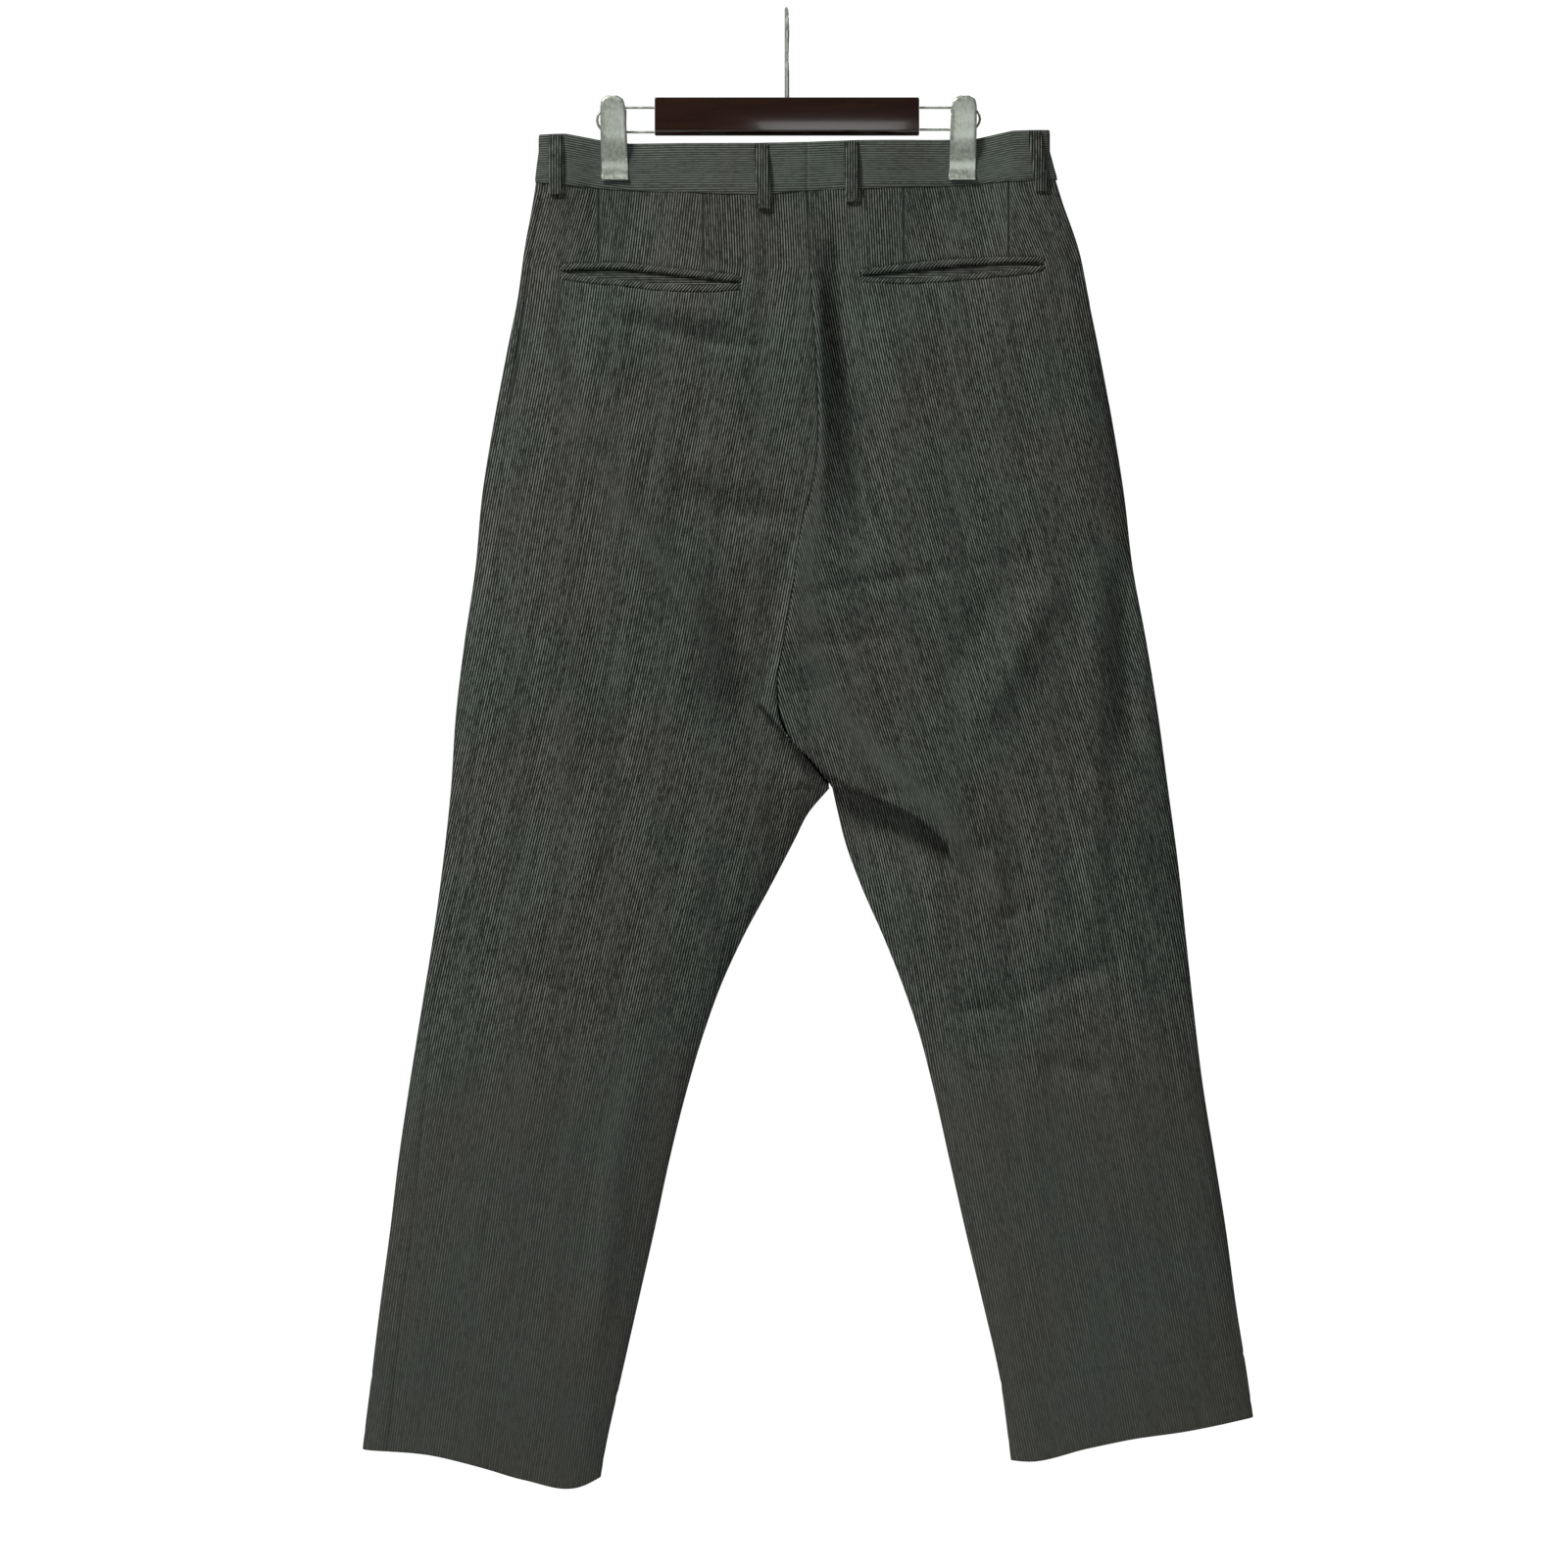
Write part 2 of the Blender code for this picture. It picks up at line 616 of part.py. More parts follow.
def build_hanger():
    wood = paint("wood", (0.045, 0.009, 0.003), 0.25)
    steel = paint("nickel", (0.62, 0.64, 0.58), 0.3, 1.0)
    half_y = BAR_DEPTH / 2
    low = BAR_TOP - BAR_HEIGHT
    soft = 3.0
    ring = []
    for cy, cz, start in (
        (half_y - soft, BAR_TOP - soft, 0),
        (-half_y + soft, BAR_TOP - soft, 1),
        (-half_y + soft, low + soft, 2),
        (half_y - soft, low + soft, 3),
    ):
        for part in (0.0, 0.5, 1.0):
            angle = (start + part) * math.pi / 2
            ring.append((cy + soft * math.cos(angle), cz + soft * math.sin(angle)))
    ring = np.array(ring)
    centre = np.array([0.0, BAR_TOP - BAR_HEIGHT / 2])
    rings = []
    for x, shrink in (
        (-BAR_LENGTH / 2, 0.86), (-BAR_LENGTH / 2 + 1.5, 1.0),
        (BAR_LENGTH / 2 - 1.5, 1.0), (BAR_LENGTH / 2, 0.86),
    ):
        flat = centre + (ring - centre) * shrink
        rings.append([(x + 0.8, y, z) for y, z in flat])
    sides = len(ring)
    faces = []
    for r in range(3):
        for s in range(sides):
            t = (s + 1) % sides
            faces.append((r * sides + s, r * sides + t, (r + 1) * sides + t, (r + 1) * sides + s))
    faces.append(tuple(reversed(range(sides))))
    faces.append(tuple(3 * sides + s for s in range(sides)))
    make("hanger_bar", np.array(rings).reshape(-1, 3) * MM, faces, wood)

    for leg, sign, clip, foot in (
        ("left", -1, LEFT_CLIP, LEFT_WIRE_FOOT),
        ("right", 1, RIGHT_CLIP, RIGHT_WIRE_FOOT),
    ):
        start = 0.8 + sign * (BAR_LENGTH / 2 + SEAM_GAP)
        end = clip + sign * 13.0
        high = WIRE_TOP
        turn = (high - foot) / 2
        path = [(start, 0.0, high), (end - sign * turn, 0.0, high)]
        for i in range(1, 8):
            angle = math.pi / 2 - math.pi * i / 8
            path.append((
                end - sign * turn + sign * turn * math.cos(angle), 0.0,
                (high + foot) / 2 + turn * math.sin(angle),
            ))
        path += [(end - sign * turn, 0.0, foot), (start, 0.0, foot)]
        rod("hanger_wire_" + leg, path, WIRE / 2, steel)
        for face, way in (("back", -1.0), ("front", 1.0)):
            clip_plate("clip_plate_%s_%s" % (face, leg), clip, way, sign, steel)
        middle = (high + foot) / 2
        coil = (high - foot) / 2 - WIRE / 2 - SEAM_GAP
        rod(
            "clip_spring_" + leg,
            [(clip - sign * 10.0, 0.0, middle), (clip + sign * 2.0, 0.0, middle)],
            coil, steel, 16,
        )

    path = [(0.8, 0.0, BAR_TOP + SEAM_GAP), (0.8, 0.0, -50.0), (0.8, 0.6, -45.0)]
    mid = HOOK_WIRE / 2 - HOOK_RADIUS
    path.append((0.8, 3.6, -39.0))
    path.append((0.8, 10.0, -32.5))
    for i in range(0, 15):
        angle = math.radians(-38.0 + 236.0 * i / 14)
        path.append((0.8, HOOK_RADIUS * math.cos(angle), mid + HOOK_RADIUS * math.sin(angle)))
    rod("hanger_hook", path, HOOK_WIRE / 2, steel, 10)


def clip_plate(name, clip, way, sign, material):
    """A sprung plate: spread at its top, pressed on the band at its foot."""
    levels = np.array([CLIP_TOP, CLIP_TOP - 2.5, -74.0, -86.0, -98.0, -108.0, -116.0, -127.0, CLIP_FOOT])
    width = np.array([5.4, 8.4, 9.6, 10.0, 10.1, 10.2, 10.2, 10.2, 9.8])
    jaw = BAND_WALL + SEAM_GAP / 2 + SEAM_GAP + 0.1 + PLATE / 2
    rise = np.array([5.6, 5.8, 5.9, 5.9, 5.4, 2.8, 0.0, 0.0, 0.9])
    lean = sign * -0.03
    across = np.array([-1.0, -0.8, 0.0, 0.8, 1.0])
    x = clip + across * width[:, None] - lean * (levels[:, None] + 98.0)
    y = way * (jaw + rise[:, None] - 0.35 * np.abs(across) ** 4 * (rise[:, None] > 1.0))
    z = levels[:, None] + 0.0 * across
    points = np.stack([x, y + 0.0 * x, z], axis=-1)
    out = grid_out(points, way < 0)
    outer, inner = wall(points, out, PLATE)
    solid(name, outer, inner, material)


# Details
def panel_spot(points, out, x, level):
    """The panel's own surface at a place across and a height."""
    rows = points[:, :, 2].mean(axis=1)
    r = np.clip(np.searchsorted(-rows, -level) - 1, 0, len(rows) - 2)
    t = (level - rows[r]) / (rows[r + 1] - rows[r])
    line = points[r] * (1 - t) + points[r + 1] * t
    ways = out[r] * (1 - t) + out[r + 1] * t
    order = np.argsort(line[:, 0])
    spot = [np.interp(x, line[order, 0], line[order, k]) for k in range(3)]
    way = np.array([np.interp(x, line[order, 0], ways[order, k]) for k in range(3)])
    return np.array(spot), way / np.linalg.norm(way)


def laid_piece(name, panel, rows_x, levels, thickness, lift, material):
    """A piece lying on a panel, made from the panel's points moved out."""
    points, out = panel
    count = (len(levels), len(rows_x))
    spots = np.zeros((*count, 3))
    ways = np.zeros((*count, 3))
    for i in range(count[0]):
        for j in range(count[1]):
            spots[i, j], ways[i, j] = panel_spot(points, out, rows_x[j], levels[i][j])
    outer, inner = wall(spots, ways, thickness, lift + thickness / 2)
    solid(name, outer, inner, material)


def pocket_places(panel, first, last):
    """The panel's own columns under the pocket, with places between them."""
    row = LEVELS.index(-204.0)
    lines = [x for x in panel[0][row, :, 0] if first + 3 < x < last - 3]
    marks = sorted([first, first + 5.0, last - 5.0, last] + lines)
    kept = [marks[0]]
    for mark in marks[1:]:
        if mark - kept[-1] > 14.0:
            kept.append((mark + kept[-1]) / 2)
        if mark - kept[-1] > 2.0:
            kept.append(mark)
    return np.array(kept)


def build_pocket(leg, panel):
    rows = LEFT_POCKET if leg == "left" else RIGHT_POCKET
    x = pocket_places(panel, rows[0].across, rows[-1].across)
    place = column(rows, "across")
    top = through(x, place, column(rows, "top"))
    lens_top = through(x, place, column(rows, "lens_top"))
    lens_foot = through(x, place, column(rows, "lens_foot"))
    foot = through(x, place, column(rows, "foot"))
    lift = WALL / 2 + LAID_GAP
    laid_piece(
        "pocket_upper_jetting_" + leg, panel, x,
        [top, lens_top], 1.3, lift, cloth("cloth_upper_" + leg),
    )
    laid_piece(
        "pocket_lower_jetting_" + leg, panel, x,
        [lens_foot, foot], 1.3, lift, cloth("cloth_lower_" + leg),
    )
    inside = slice(1, -1)
    laid_piece(
        "pocket_facing_" + leg, panel, x[inside],
        [lens_top[inside] - 0.35, lens_foot[inside] + 0.35], 0.8, lift, cloth("cloth_facing_" + leg),
    )


def build_side_facing(leg):
    """The facing behind a side pocket mouth, inside the side seam."""
    levels = np.array([-222.5, -247.0, -275.9, -308.0])[:, None]
    parts = np.array([-0.13, -0.105, -0.08, -0.055, -0.03])
    if leg == "left":
        parts = np.array([-0.07, -0.05, -0.03, -0.01, 0.01])
    level = levels + 0.0 * parts
    turn = side_turn(leg, level) + parts
    points = surface(leg, turn, level)
    out = facing_out(leg, turn, level)
    outer, inner = wall(points, out, 1.0, -(WALL / 2 + 1.4))
    solid("side_pocket_facing_" + leg, outer, inner, cloth("cloth_side_facing_" + leg))


def build_fly():
    """The shield that lies behind the fly opening."""
    levels = np.array([-142.0, -160.0, -185.0, -215.0, -250.0, -285.0, -318.0])
    rows = []
    for level in levels:
        middle = float(inner_edge("left", "front", level))
        line = []
        for off in (-14.0, -7.0, 0.0, 8.0, 16.0, 24.0):
            leg = "left" if off < 0 else "right"
            width = abs(float(side_edge(leg, level)) - middle)
            spot = surface(leg, 2.0 - abs(off) / width, level)
            line.append((middle + off, spot[1], level))
        rows.append(line)
    points = np.array(rows)
    out = grid_out(points, False)
    outer, inner = wall(points, out, 1.2, 0.0)
    shift = WALL / 2 + 0.6 + 0.6
    outer[..., 1] -= shift
    inner[..., 1] -= shift
    solid("fly_shield", outer, inner, cloth("cloth_fly"))


def build_loops(panels):
    """Belt loops over the band, their feet sewn to the panels."""
    places = (
        ("back_left_side", -178.3, 0.2, "back", "left", -142.0),
        ("back_left", -18.0, 2.2, "back", "left", -153.3),
        ("back_right", 51.0, 1.0, "back", "right", -148.2),
        ("back_right_side", 195.5, 6.0, "back", "right", -139.8),
        ("front_left", -104.0, 0.0, "front", "left", -150.0),
        ("front_right", 113.0, 0.0, "front", "right", -149.0),
    )
    for name, x, lean, face, leg, foot in places:
        way = -1.0 if face == "back" else 1.0
        top = float(band_top(x)) - 0.6
        parts = np.array([0.0, 0.1, 0.22, 0.42, 0.62, 0.8, 0.9, 1.0])
        rise = np.array([0.0, 0.1, 1.3, LOOP_RISE, LOOP_RISE, 1.3, 0.3, 0.1])
        z = top + (foot - top) * parts
        half = LOOP_WIDTH / 2
        across = np.array([-half, 0.0, half])
        px = x + across[None, :] + lean * (parts[:, None] - 0.5)
        reach = np.abs(px - 16.6) / abs(float(side_edge(leg, -115.0)) - 16.6)
        cover = band_spread(px) * lens(reach, 14.0) + BAND_WALL / 2
        pz = z[:, None] + 0.0 * px
        panel, out = panels[face, leg]
        for i, j in np.ndindex(px.shape):
            if pz[i, j] < band_foot(px[i, j]) + 6.0:
                level = min(pz[i, j], float(panel[0, :, 2].min()) - 0.5)
                spot, _ = panel_spot(panel, out, px[i, j], level)
                cover[i, j] = max(cover[i, j], abs(spot[1]) + WALL / 2)
        py = cover + SEAM_GAP + 0.6 + rise[:, None]
        points = np.stack([px, way * py, pz], axis=-1)
        out = grid_out(points, face == "front")
        outer, inner = wall(points, out, 1.1)
        solid("belt_loop_" + name, outer, inner, cloth("cloth_loop_" + name))


def build_button():
    horn = paint("horn", (0.03, 0.02, 0.014), 0.35)
    x = 25.0
    y = float(band_spread(x)) + BAND_WALL + SEAM_GAP + 0.15 + BAND_WALL / 2 + SEAM_GAP
    radius = BUTTON_DIAMETER / 2
    path = [(x, y, -121.0), (x, y + 0.8, -121.0), (x, y + 2.2, -121.0), (x, y + 3.0, -121.0)]
    rings = tube(path, 1.0, 20)
    centre = np.array(path)[:, None]
    grow = np.array([radius - 0.8, radius, radius, radius - 0.8])[:, None, None]
    rings = centre + (rings - centre) * grow
    points = rings.reshape(-1, 3) * MM
    faces = []
    for r in range(3):
        for s in range(20):
            t = (s + 1) % 20
            faces.append((r * 20 + s, r * 20 + t, (r + 1) * 20 + t, (r + 1) * 20 + s))
    faces.append(tuple(reversed(range(20))))
    faces.append(tuple(60 + s for s in range(20)))
    make("waist_button", points, faces, horn)


def build():
    remove_all()
    panels = {}
    for leg in ("left", "right"):
        panels["back", leg] = back_panel(leg)
        panels["front", leg] = front_panel(leg)
        for face in ("back", "front"):
            outer, inner = wall(*panels[face, leg], WALL)
            solid("%s_panel_%s" % (face, leg), outer, inner, cloth("cloth_%s_%s" % (face, leg)))
        outer, inner = wall(*band_half(leg), BAND_WALL)
        solid("waistband_" + leg, outer, inner, cloth("cloth_band_" + leg))
        build_pocket(leg, panels["back", leg])
        build_side_facing(leg)
    build_loops(panels)
    build_fly()
    build_button()
    build_hanger()


build()
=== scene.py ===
"""Pleated trousers hung by the waistband from a wooden clip hanger.

The back faces -Y, +Z is up and the origin is where the hook bears. Sizes in
the tables are millimetres and levels are heights below the hook. The cloth's
own UV map runs across and down each panel in metres of cloth.
"""

import math
from collections import namedtuple

import bmesh
import bpy
import numpy as np
from mathutils import Matrix, Vector


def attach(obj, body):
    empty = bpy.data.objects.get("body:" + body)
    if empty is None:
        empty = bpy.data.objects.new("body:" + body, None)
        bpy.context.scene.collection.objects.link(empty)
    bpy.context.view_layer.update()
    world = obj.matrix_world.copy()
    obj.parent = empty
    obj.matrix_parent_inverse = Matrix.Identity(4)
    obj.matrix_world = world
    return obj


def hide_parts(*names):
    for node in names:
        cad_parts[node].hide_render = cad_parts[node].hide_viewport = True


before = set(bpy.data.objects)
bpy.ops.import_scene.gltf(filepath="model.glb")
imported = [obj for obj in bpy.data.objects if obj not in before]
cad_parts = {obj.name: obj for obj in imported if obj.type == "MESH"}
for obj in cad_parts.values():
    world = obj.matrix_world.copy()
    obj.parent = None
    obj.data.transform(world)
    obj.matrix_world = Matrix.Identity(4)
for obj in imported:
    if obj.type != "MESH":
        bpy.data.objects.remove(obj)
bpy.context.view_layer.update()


def table(columns, *rows):
    """Rows whose columns have names."""
    kind = namedtuple("Row", columns)
    return tuple(kind(*row) for row in rows)


# Sizes
MM = 0.001
WALL = 1.2
BAND_WALL = 2.2
SEAM_GAP = 0.3
LAYER = 1.7
CROTCH_LEVEL = -601.9
BAND_LEVEL = -139.1
HEM_LEVEL = -1114.2
BACK_CLOSING = -400.0
FRONT_CLOSING = -430.0
HEM_TURNING = 56.0
HEM_INSET = 2.3
HEM_SLANT_START = -960.0
BAND_MIDDLE = -115.0
SLIT_TOP = -224.0
SLIT_FOOT = -306.0
POCKET_SUNK = 3.4
LOOP_HALF = 5.2
BUTTON_X = 25.0
BUTTON_LEVEL = -121.0
STRIPE_PITCH = 0.00193
MIDDLE_X = 16.6
LEFT_CLIP = -133.5
RIGHT_CLIP = 137.5

# Outline
SIDES = table(
    "level left right half_depth left_wrap",
    (-108.7, -190.8, 203.7, 16, 6),
    (-146.7, -196.1, 215.1, 16.5, 6),
    (-184.7, -202.9, 228, 17.5, 6),
    (-222.7, -208.2, 235.6, 19, 6),
    (-260.7, -215.8, 243.2, 21, 8),
    (-317.7, -226.5, 253.8, 23, 10.5),
    (-374.7, -235.6, 263, 24.5, 15.5),
    (-431.7, -240.9, 269.8, 25, 18),
    (-488.7, -249.3, 280.4, 25, 19.5),
    (-545.7, -256.1, 289.6, 24, 19),
    (-602.7, -259.9, 297.2, 22.5, 16),
    (-659.7, -266, 304.8, 21, 14.5),
    (-716.7, -273.6, 310.8, 19.5, 12),
    (-773.7, -282.7, 316.9, 18.5, 9),
    (-830.7, -291.8, 323.8, 17.5, 13),
    (-887.7, -300.2, 332.9, 16.5, 16),
    (-944.7, -307, 342, 15.5, 17),
    (-1001.7, -314.6, 349.6, 14.5, 17.5),
    (-1058.7, -321.5, 358.7, 13.5, 18.5),
    (-1114.2, -328.3, 366.3, 13, 19.5),
    (-1146.1, -331.4, 370.1, 13, 19.5),
)
INSEAMS = table(
    "level left right",
    (-601.9, 35, 35),
    (-621.7, 18.2, 39.5),
    (-640.7, 8.4, 44.1),
    (-678.7, -11.4, 57.8),
    (-716.7, -31.9, 74.5),
    (-754.7, -49.4, 89.7),
    (-792.7, -63.1, 102.6),
    (-830.7, -74.5, 112.5),
    (-887.7, -88.9, 125.4),
    (-944.7, -101.1, 138.3),
    (-1001.7, -114, 152),
    (-1058.7, -126.9, 164.9),
    (-1114.2, -139.1, 172.5),
    (-1146.1, -144.4, 176.3),
)
CENTRES = table(
    "level back front",
    (-90, 16.5, 16.5),
    (-139.1, 16.7, 16.7),
    (-216.6, 19.8, 18.5),
    (-283.5, 24.3, 20.5),
    (-328.3, 25.1, 22),
    (-373.2, 19.8, 23.5),
    (-395.2, 12.9, 24.5),
    (-443.8, 6.1, 26.5),
    (-477.3, 0.8, 28),
    (-522.9, -6, 30.5),
    (-545.7, -3, 31.8),
    (-568.5, 9.9, 33),
    (-601.9, 35, 35),
)
BAND_EDGES = table(
    "x top bottom",
    (-195.3, -95.8, -132.2),
    (-171, -95, -134.6),
    (-145.9, -99.6, -136.9),
    (-121.6, -102.6, -138.7),
    (-25.1, -102.6, -142.4),
    (16, -101.8, -139.1),
    (55.5, -100.3, -137.6),
    (126.9, -99.6, -134.9),
    (148.2, -98.8, -133.4),
    (176.3, -92.7, -131.4),
    (203.7, -92, -130.2),
    (215, -92, -131),
)
HEMS = table(
    "across left right",
    (0.00, -1135.4, -1122.5),
    (0.07, -1142, -1123.3),
    (0.32, -1137, -1112.5),
    (0.50, -1127.5, -1105.5),
    (0.72, -1118, -1099.5),
    (1.00, -1114.2, -1089.1),
)
GRAINS = table(
    "level left right",
    (-90, 0.07, -0.17),
    (-160, 0.11, -0.22),
    (-238, 0.15, -0.20),
    (-314, 0.21, -0.265),
    (-390, 0.18, -0.28),
    (-466, 0.20, -0.31),
    (-542, 0.23, -0.33),
    (-600, 0.255, -0.295),
    (-656, 0.25, -0.24),
    (-694, 0.245, -0.21),
    (-770, 0.22, -0.18),
    (-846, 0.20, -0.19),
    (-922, 0.165, -0.20),
    (-1000, 0.152, -0.20),
    (-1146, 0.15, -0.215),
)
DARTS = table(
    "leg x take_up length",
    ("left", -145.5, 9, 58),
    ("left", -64.5, 10, 60),
    ("right", 91, 10, 56),
    ("right", 172.5, 9, 58),
)

# Pleats
PLEATS = table(
    "name left right take_up length",
    ("main", 0.34, 0.27, 15, 215),
    ("side", 0.49, 0.43, 11, 150),
)
FRONT_PLACES = (0.0, 0.02, 0.06, 0.13, 0.58, 0.68, 0.78, 0.87, 0.935, 0.98, 1.0)

# Folds
FOLD = "name x0 level0 x1 level1 width depth"
BACK_FOLDS = table(
    FOLD,
    ("seam ridge", 25, -190, 30, -395, 6, -2.5),
    ("right seat ridge", 84, -230, 98, -400, 22, -3),
    ("left pocket belly", -100, -226, -50, -240, 11, -3),
    ("left side hollow", -174, -225, -160, -322, 13, 4),
    ("left seat hollow", -128, -285, -60, -335, 18, 3),
    ("right thigh ridge", 205, -443, 150, -556, 15, -6.5),
    ("right thigh hollow", 176, -430, 128, -520, 14, 3.4),
    ("right side ridge", 240, -438, 238, -710, 12, -5),
    ("right side hollow", 264, -420, 266, -575, 10, 5),
    ("right knee crease", 130, -778, 255, -736, 11, 2.6),
    ("right calf crease", 200, -814, 248, -826, 10, 3),
    ("left knee crease", -238, -735, -150, -772, 13, 2),
    ("left calf ridge", -118, -815, -152, -1040, 12, -3),
    ("left thigh hollow", -150, -470, -120, -640, 18, 4),
    ("right leg ridge", 158, -650, 166, -700, 10, -4),
)
BACK_CREASES = table(
    FOLD,
    ("pocket crease foot", -150, -257, -96, -270, 3.6, 1),
    ("seat wrinkle", 16, -453, 108, -436, 6, 2.4),
    ("seat wrinkle right", 108, -436, 190, -424, 7, 1.8),
    ("seat wrinkle foot", 10, -492, 90, -486, 7, 2.2),
    ("knee fold", 163, -705, 200, -690, 5, 1.2),
    ("knee fold left", 126, -778, 172, -771, 4, 1.2),
    ("knee fold right", 170, -771, 260, -735, 4.4, 1.5),
    ("knee fold under", 118, -777, 208, -767, 4, 0.9),
    ("calf fold", 140, -821, 186, -819, 4, 1),
    ("calf fold right", 200, -813, 248, -826, 4, 1),
    ("left thigh fold", -150, -560, -60, -610, 8, 0.9),
    ("left knee fold", -220, -742, -140, -770, 5, 0.8),
    ("left calf fold", -250, -905, -180, -930, 6, 0.7),
)
BEND = "x level depth left right"
SEAT_TROUGH = table(
    BEND,
    (37, -158, 0, 12, 4),
    (41, -186, 8, 12, 3.2),
    (44.5, -240, 15, 14, 3),
    (50.5, -300, 19.5, 17, 3),
    (56.5, -345, 20, 19, 3.4),
    (61, -378, 15, 19, 5),
    (69, -428, 0, 19, 12),
)
LONG_RIDGE = table(
    BEND,
    (-196, -238, 0, 12, 12),
    (-181.6, -275, -4, 12, 12),
    (-142, -356, -6.5, 13, 15),
    (-107.9, -416.5, -7.5, 14, 16),
    (-73.7, -462, -7, 14, 15),
    (-40, -515, -4, 13, 11),
    (-30, -545, 0, 12, 10),
)
SEAM_HOLLOW = table(
    BEND,
    (-100, -362, 0, 13, 14),
    (-76, -378, 5, 12, 16),
    (-40, -390, 8, 12, 18),
    (-6, -392, 7, 11, 16),
    (8, -386, 0, 10, 12),
)
TIP_HOLLOW = table(
    BEND,
    (-44, -430, 0, 16, 14),
    (-42, -480, 6, 18, 16),
    (-38, -530, 9, 20, 16),
    (-20, -570, 6, 18, 14),
    (6, -602, 0, 14, 12),
)
POCKET_FOLD = table(
    BEND,
    (-136, -236, 0, 2.6, 9),
    (-120.8, -243, 4.5, 2.6, 10),
    (-84, -252, 7, 2.8, 12),
    (-57.8, -259, 7, 2.8, 13),
    (-34, -262, 4.5, 3, 12),
    (-10, -262, 0, 3, 9),
)
BACK_BENDS = (SEAT_TROUGH, LONG_RIDGE, SEAM_HOLLOW, TIP_HOLLOW, POCKET_FOLD)
# Bands of painted sheen, where rounded folds catch the light.
BAND = "x level strength width"
FORK_BAND = table(
    BAND,
    (18, -395, 0.5, 7),
    (16, -440, 0.8, 8),
    (22, -500, 0.7, 11),
    (42, -545, 0.8, 10),
    (76, -583, 1, 10),
    (118, -618, 1, 11),
    (140, -655, 0.8, 10),
    (166, -688, 0.4, 10),
)
RIDGE_BAND = table(
    BAND,
    (-190, -240, 0.2, 10),
    (-148, -345, 0.5, 11),
    (-107.9, -412, 0.6, 13),
    (-73.7, -458, 0.5, 13),
    (-44, -510, 0.3, 10),
)
SEAM_BAND = table(
    BAND,
    (22, -250, 0.2, 5),
    (26, -330, 0.6, 5),
    (24, -395, 0.6, 6),
)
PAINTED_SHEEN_BANDS = (FORK_BAND, RIDGE_BAND, SEAM_BAND)
FRONT_FOLDS = table(
    FOLD,
    ("left crease", -85, -330, -232, -1125, 9, 3),
    ("right crease", 128, -330, 272, -1105, 9, 3),
    ("left billow", -92, -230, -96, -420, 26, 4),
    ("right billow", 118, -230, 126, -420, 26, 4),
    ("left lap hollow", -28, -440, 16, -575, 22, -5),
    ("right lap hollow", 88, -450, 52, -575, 22, -5),
    ("left knee crease", -250, -750, -160, -785, 14, -2.5),
    ("right knee crease", 160, -800, 265, -760, 14, -2.5),
)
FRONT_CREASES = table(
    FOLD,
    ("left press line", -85, -330, -232, -1125, 2.6, 1),
    ("right press line", 128, -330, 272, -1105, 2.6, 1),
    ("left lap fold", -60, -470, 10, -560, 6, -1.2),
    ("right lap fold", 110, -470, 56, -560, 6, -1.2),
    ("left knee fold", -240, -752, -170, -780, 5, -1),
    ("right knee fold", 170, -797, 255, -764, 5, -1),
)
CROTCH_FOLD = table(
    "x level out under lip step",
    (15, -384, 0, 0, 0, 10),
    (6, -416, 3, 3, 0, 11),
    (-4, -461, 6, 5, 0, 12),
    (-10, -505, 8.5, 7, 0, 10),
    (-21, -535.6, 11, 10, 1.5, 6),
    (3, -562, 13, 11, 3.5, 4.5),
    (33, -590, 14, 13, 4.5, 4.5),
    (63.4, -604, 15, 14, 5, 4.5),
    (85.9, -613, 14, 14, 5, 4.5),
    (107.9, -626, 12, 13, 4.5, 4.5),
    (125, -645, 8, 10, 2.5, 5),
    (133, -672, 0, 0, 0, 6),
)
FOLD_REACH = 40.0
UNDER_REACH = 33.0
LIP_REACH = 13.0

# Pockets
MOUTH = "across top lens_top lens_foot foot"
POCKETS = {
    "left": table(
        MOUTH,
        (-174.6, -196.1, -201.6, -202.3, -208.2),
        (-155.4, -195.7, -199.9, -206, -211),
        (-126.9, -195.3, -199.9, -208.9, -213.7),
        (-107.9, -197, -202, -210.8, -216.3),
        (-88.9, -199.4, -204.2, -212.5, -217.9),
        (-69.9, -201.6, -206.4, -213.3, -218.3),
        (-50.9, -203.4, -208.8, -212.8, -218),
        (-35, -205.3, -210.4, -211.4, -216.6),
    ),
    "right": table(
        MOUTH,
        (58, -200.9, -205.3, -206.3, -210.4),
        (76.4, -198.2, -202.8, -207.6, -211.4),
        (95.4, -195.8, -200.9, -207.6, -211.9),
        (114.4, -193.7, -199, -206.5, -210.9),
        (133.4, -192.2, -197.2, -204.9, -209.4),
        (152.4, -191.1, -196, -203, -207.8),
        (171.4, -190.6, -195.2, -200.9, -206),
        (190.4, -190.8, -195.2, -198.5, -203.8),
        (200.4, -191.4, -196, -197.1, -200.6),
    ),
}


# Curves
def smooth(value):
    value = np.clip(value, 0.0, 1.0)
    return value * value * (3.0 - 2.0 * value)


def bell(value):
    return np.exp(-(value ** 2))


def length(value):
    return np.linalg.norm(value, axis=-1, keepdims=True)


def unit(value):
    return value / np.maximum(length(value), 1e-9)


def run_along(points):
    """Distance along each row of points from its first."""
    steps = np.cumsum(length(np.diff(points, axis=1))[..., 0], axis=1)
    return np.concatenate([np.zeros((len(points), 1)), steps], axis=1)


def column(rows, name):
    return [getattr(row, name) for row in rows]


def curve(at, rows, name):
    """A table's column, read as a soft curve over its first column."""
    return through(at, column(rows, rows[0]._fields[0]), column(rows, name))


def straight(at, rows, name):
    return np.interp(at, column(rows, rows[0]._fields[0]), column(rows, name))


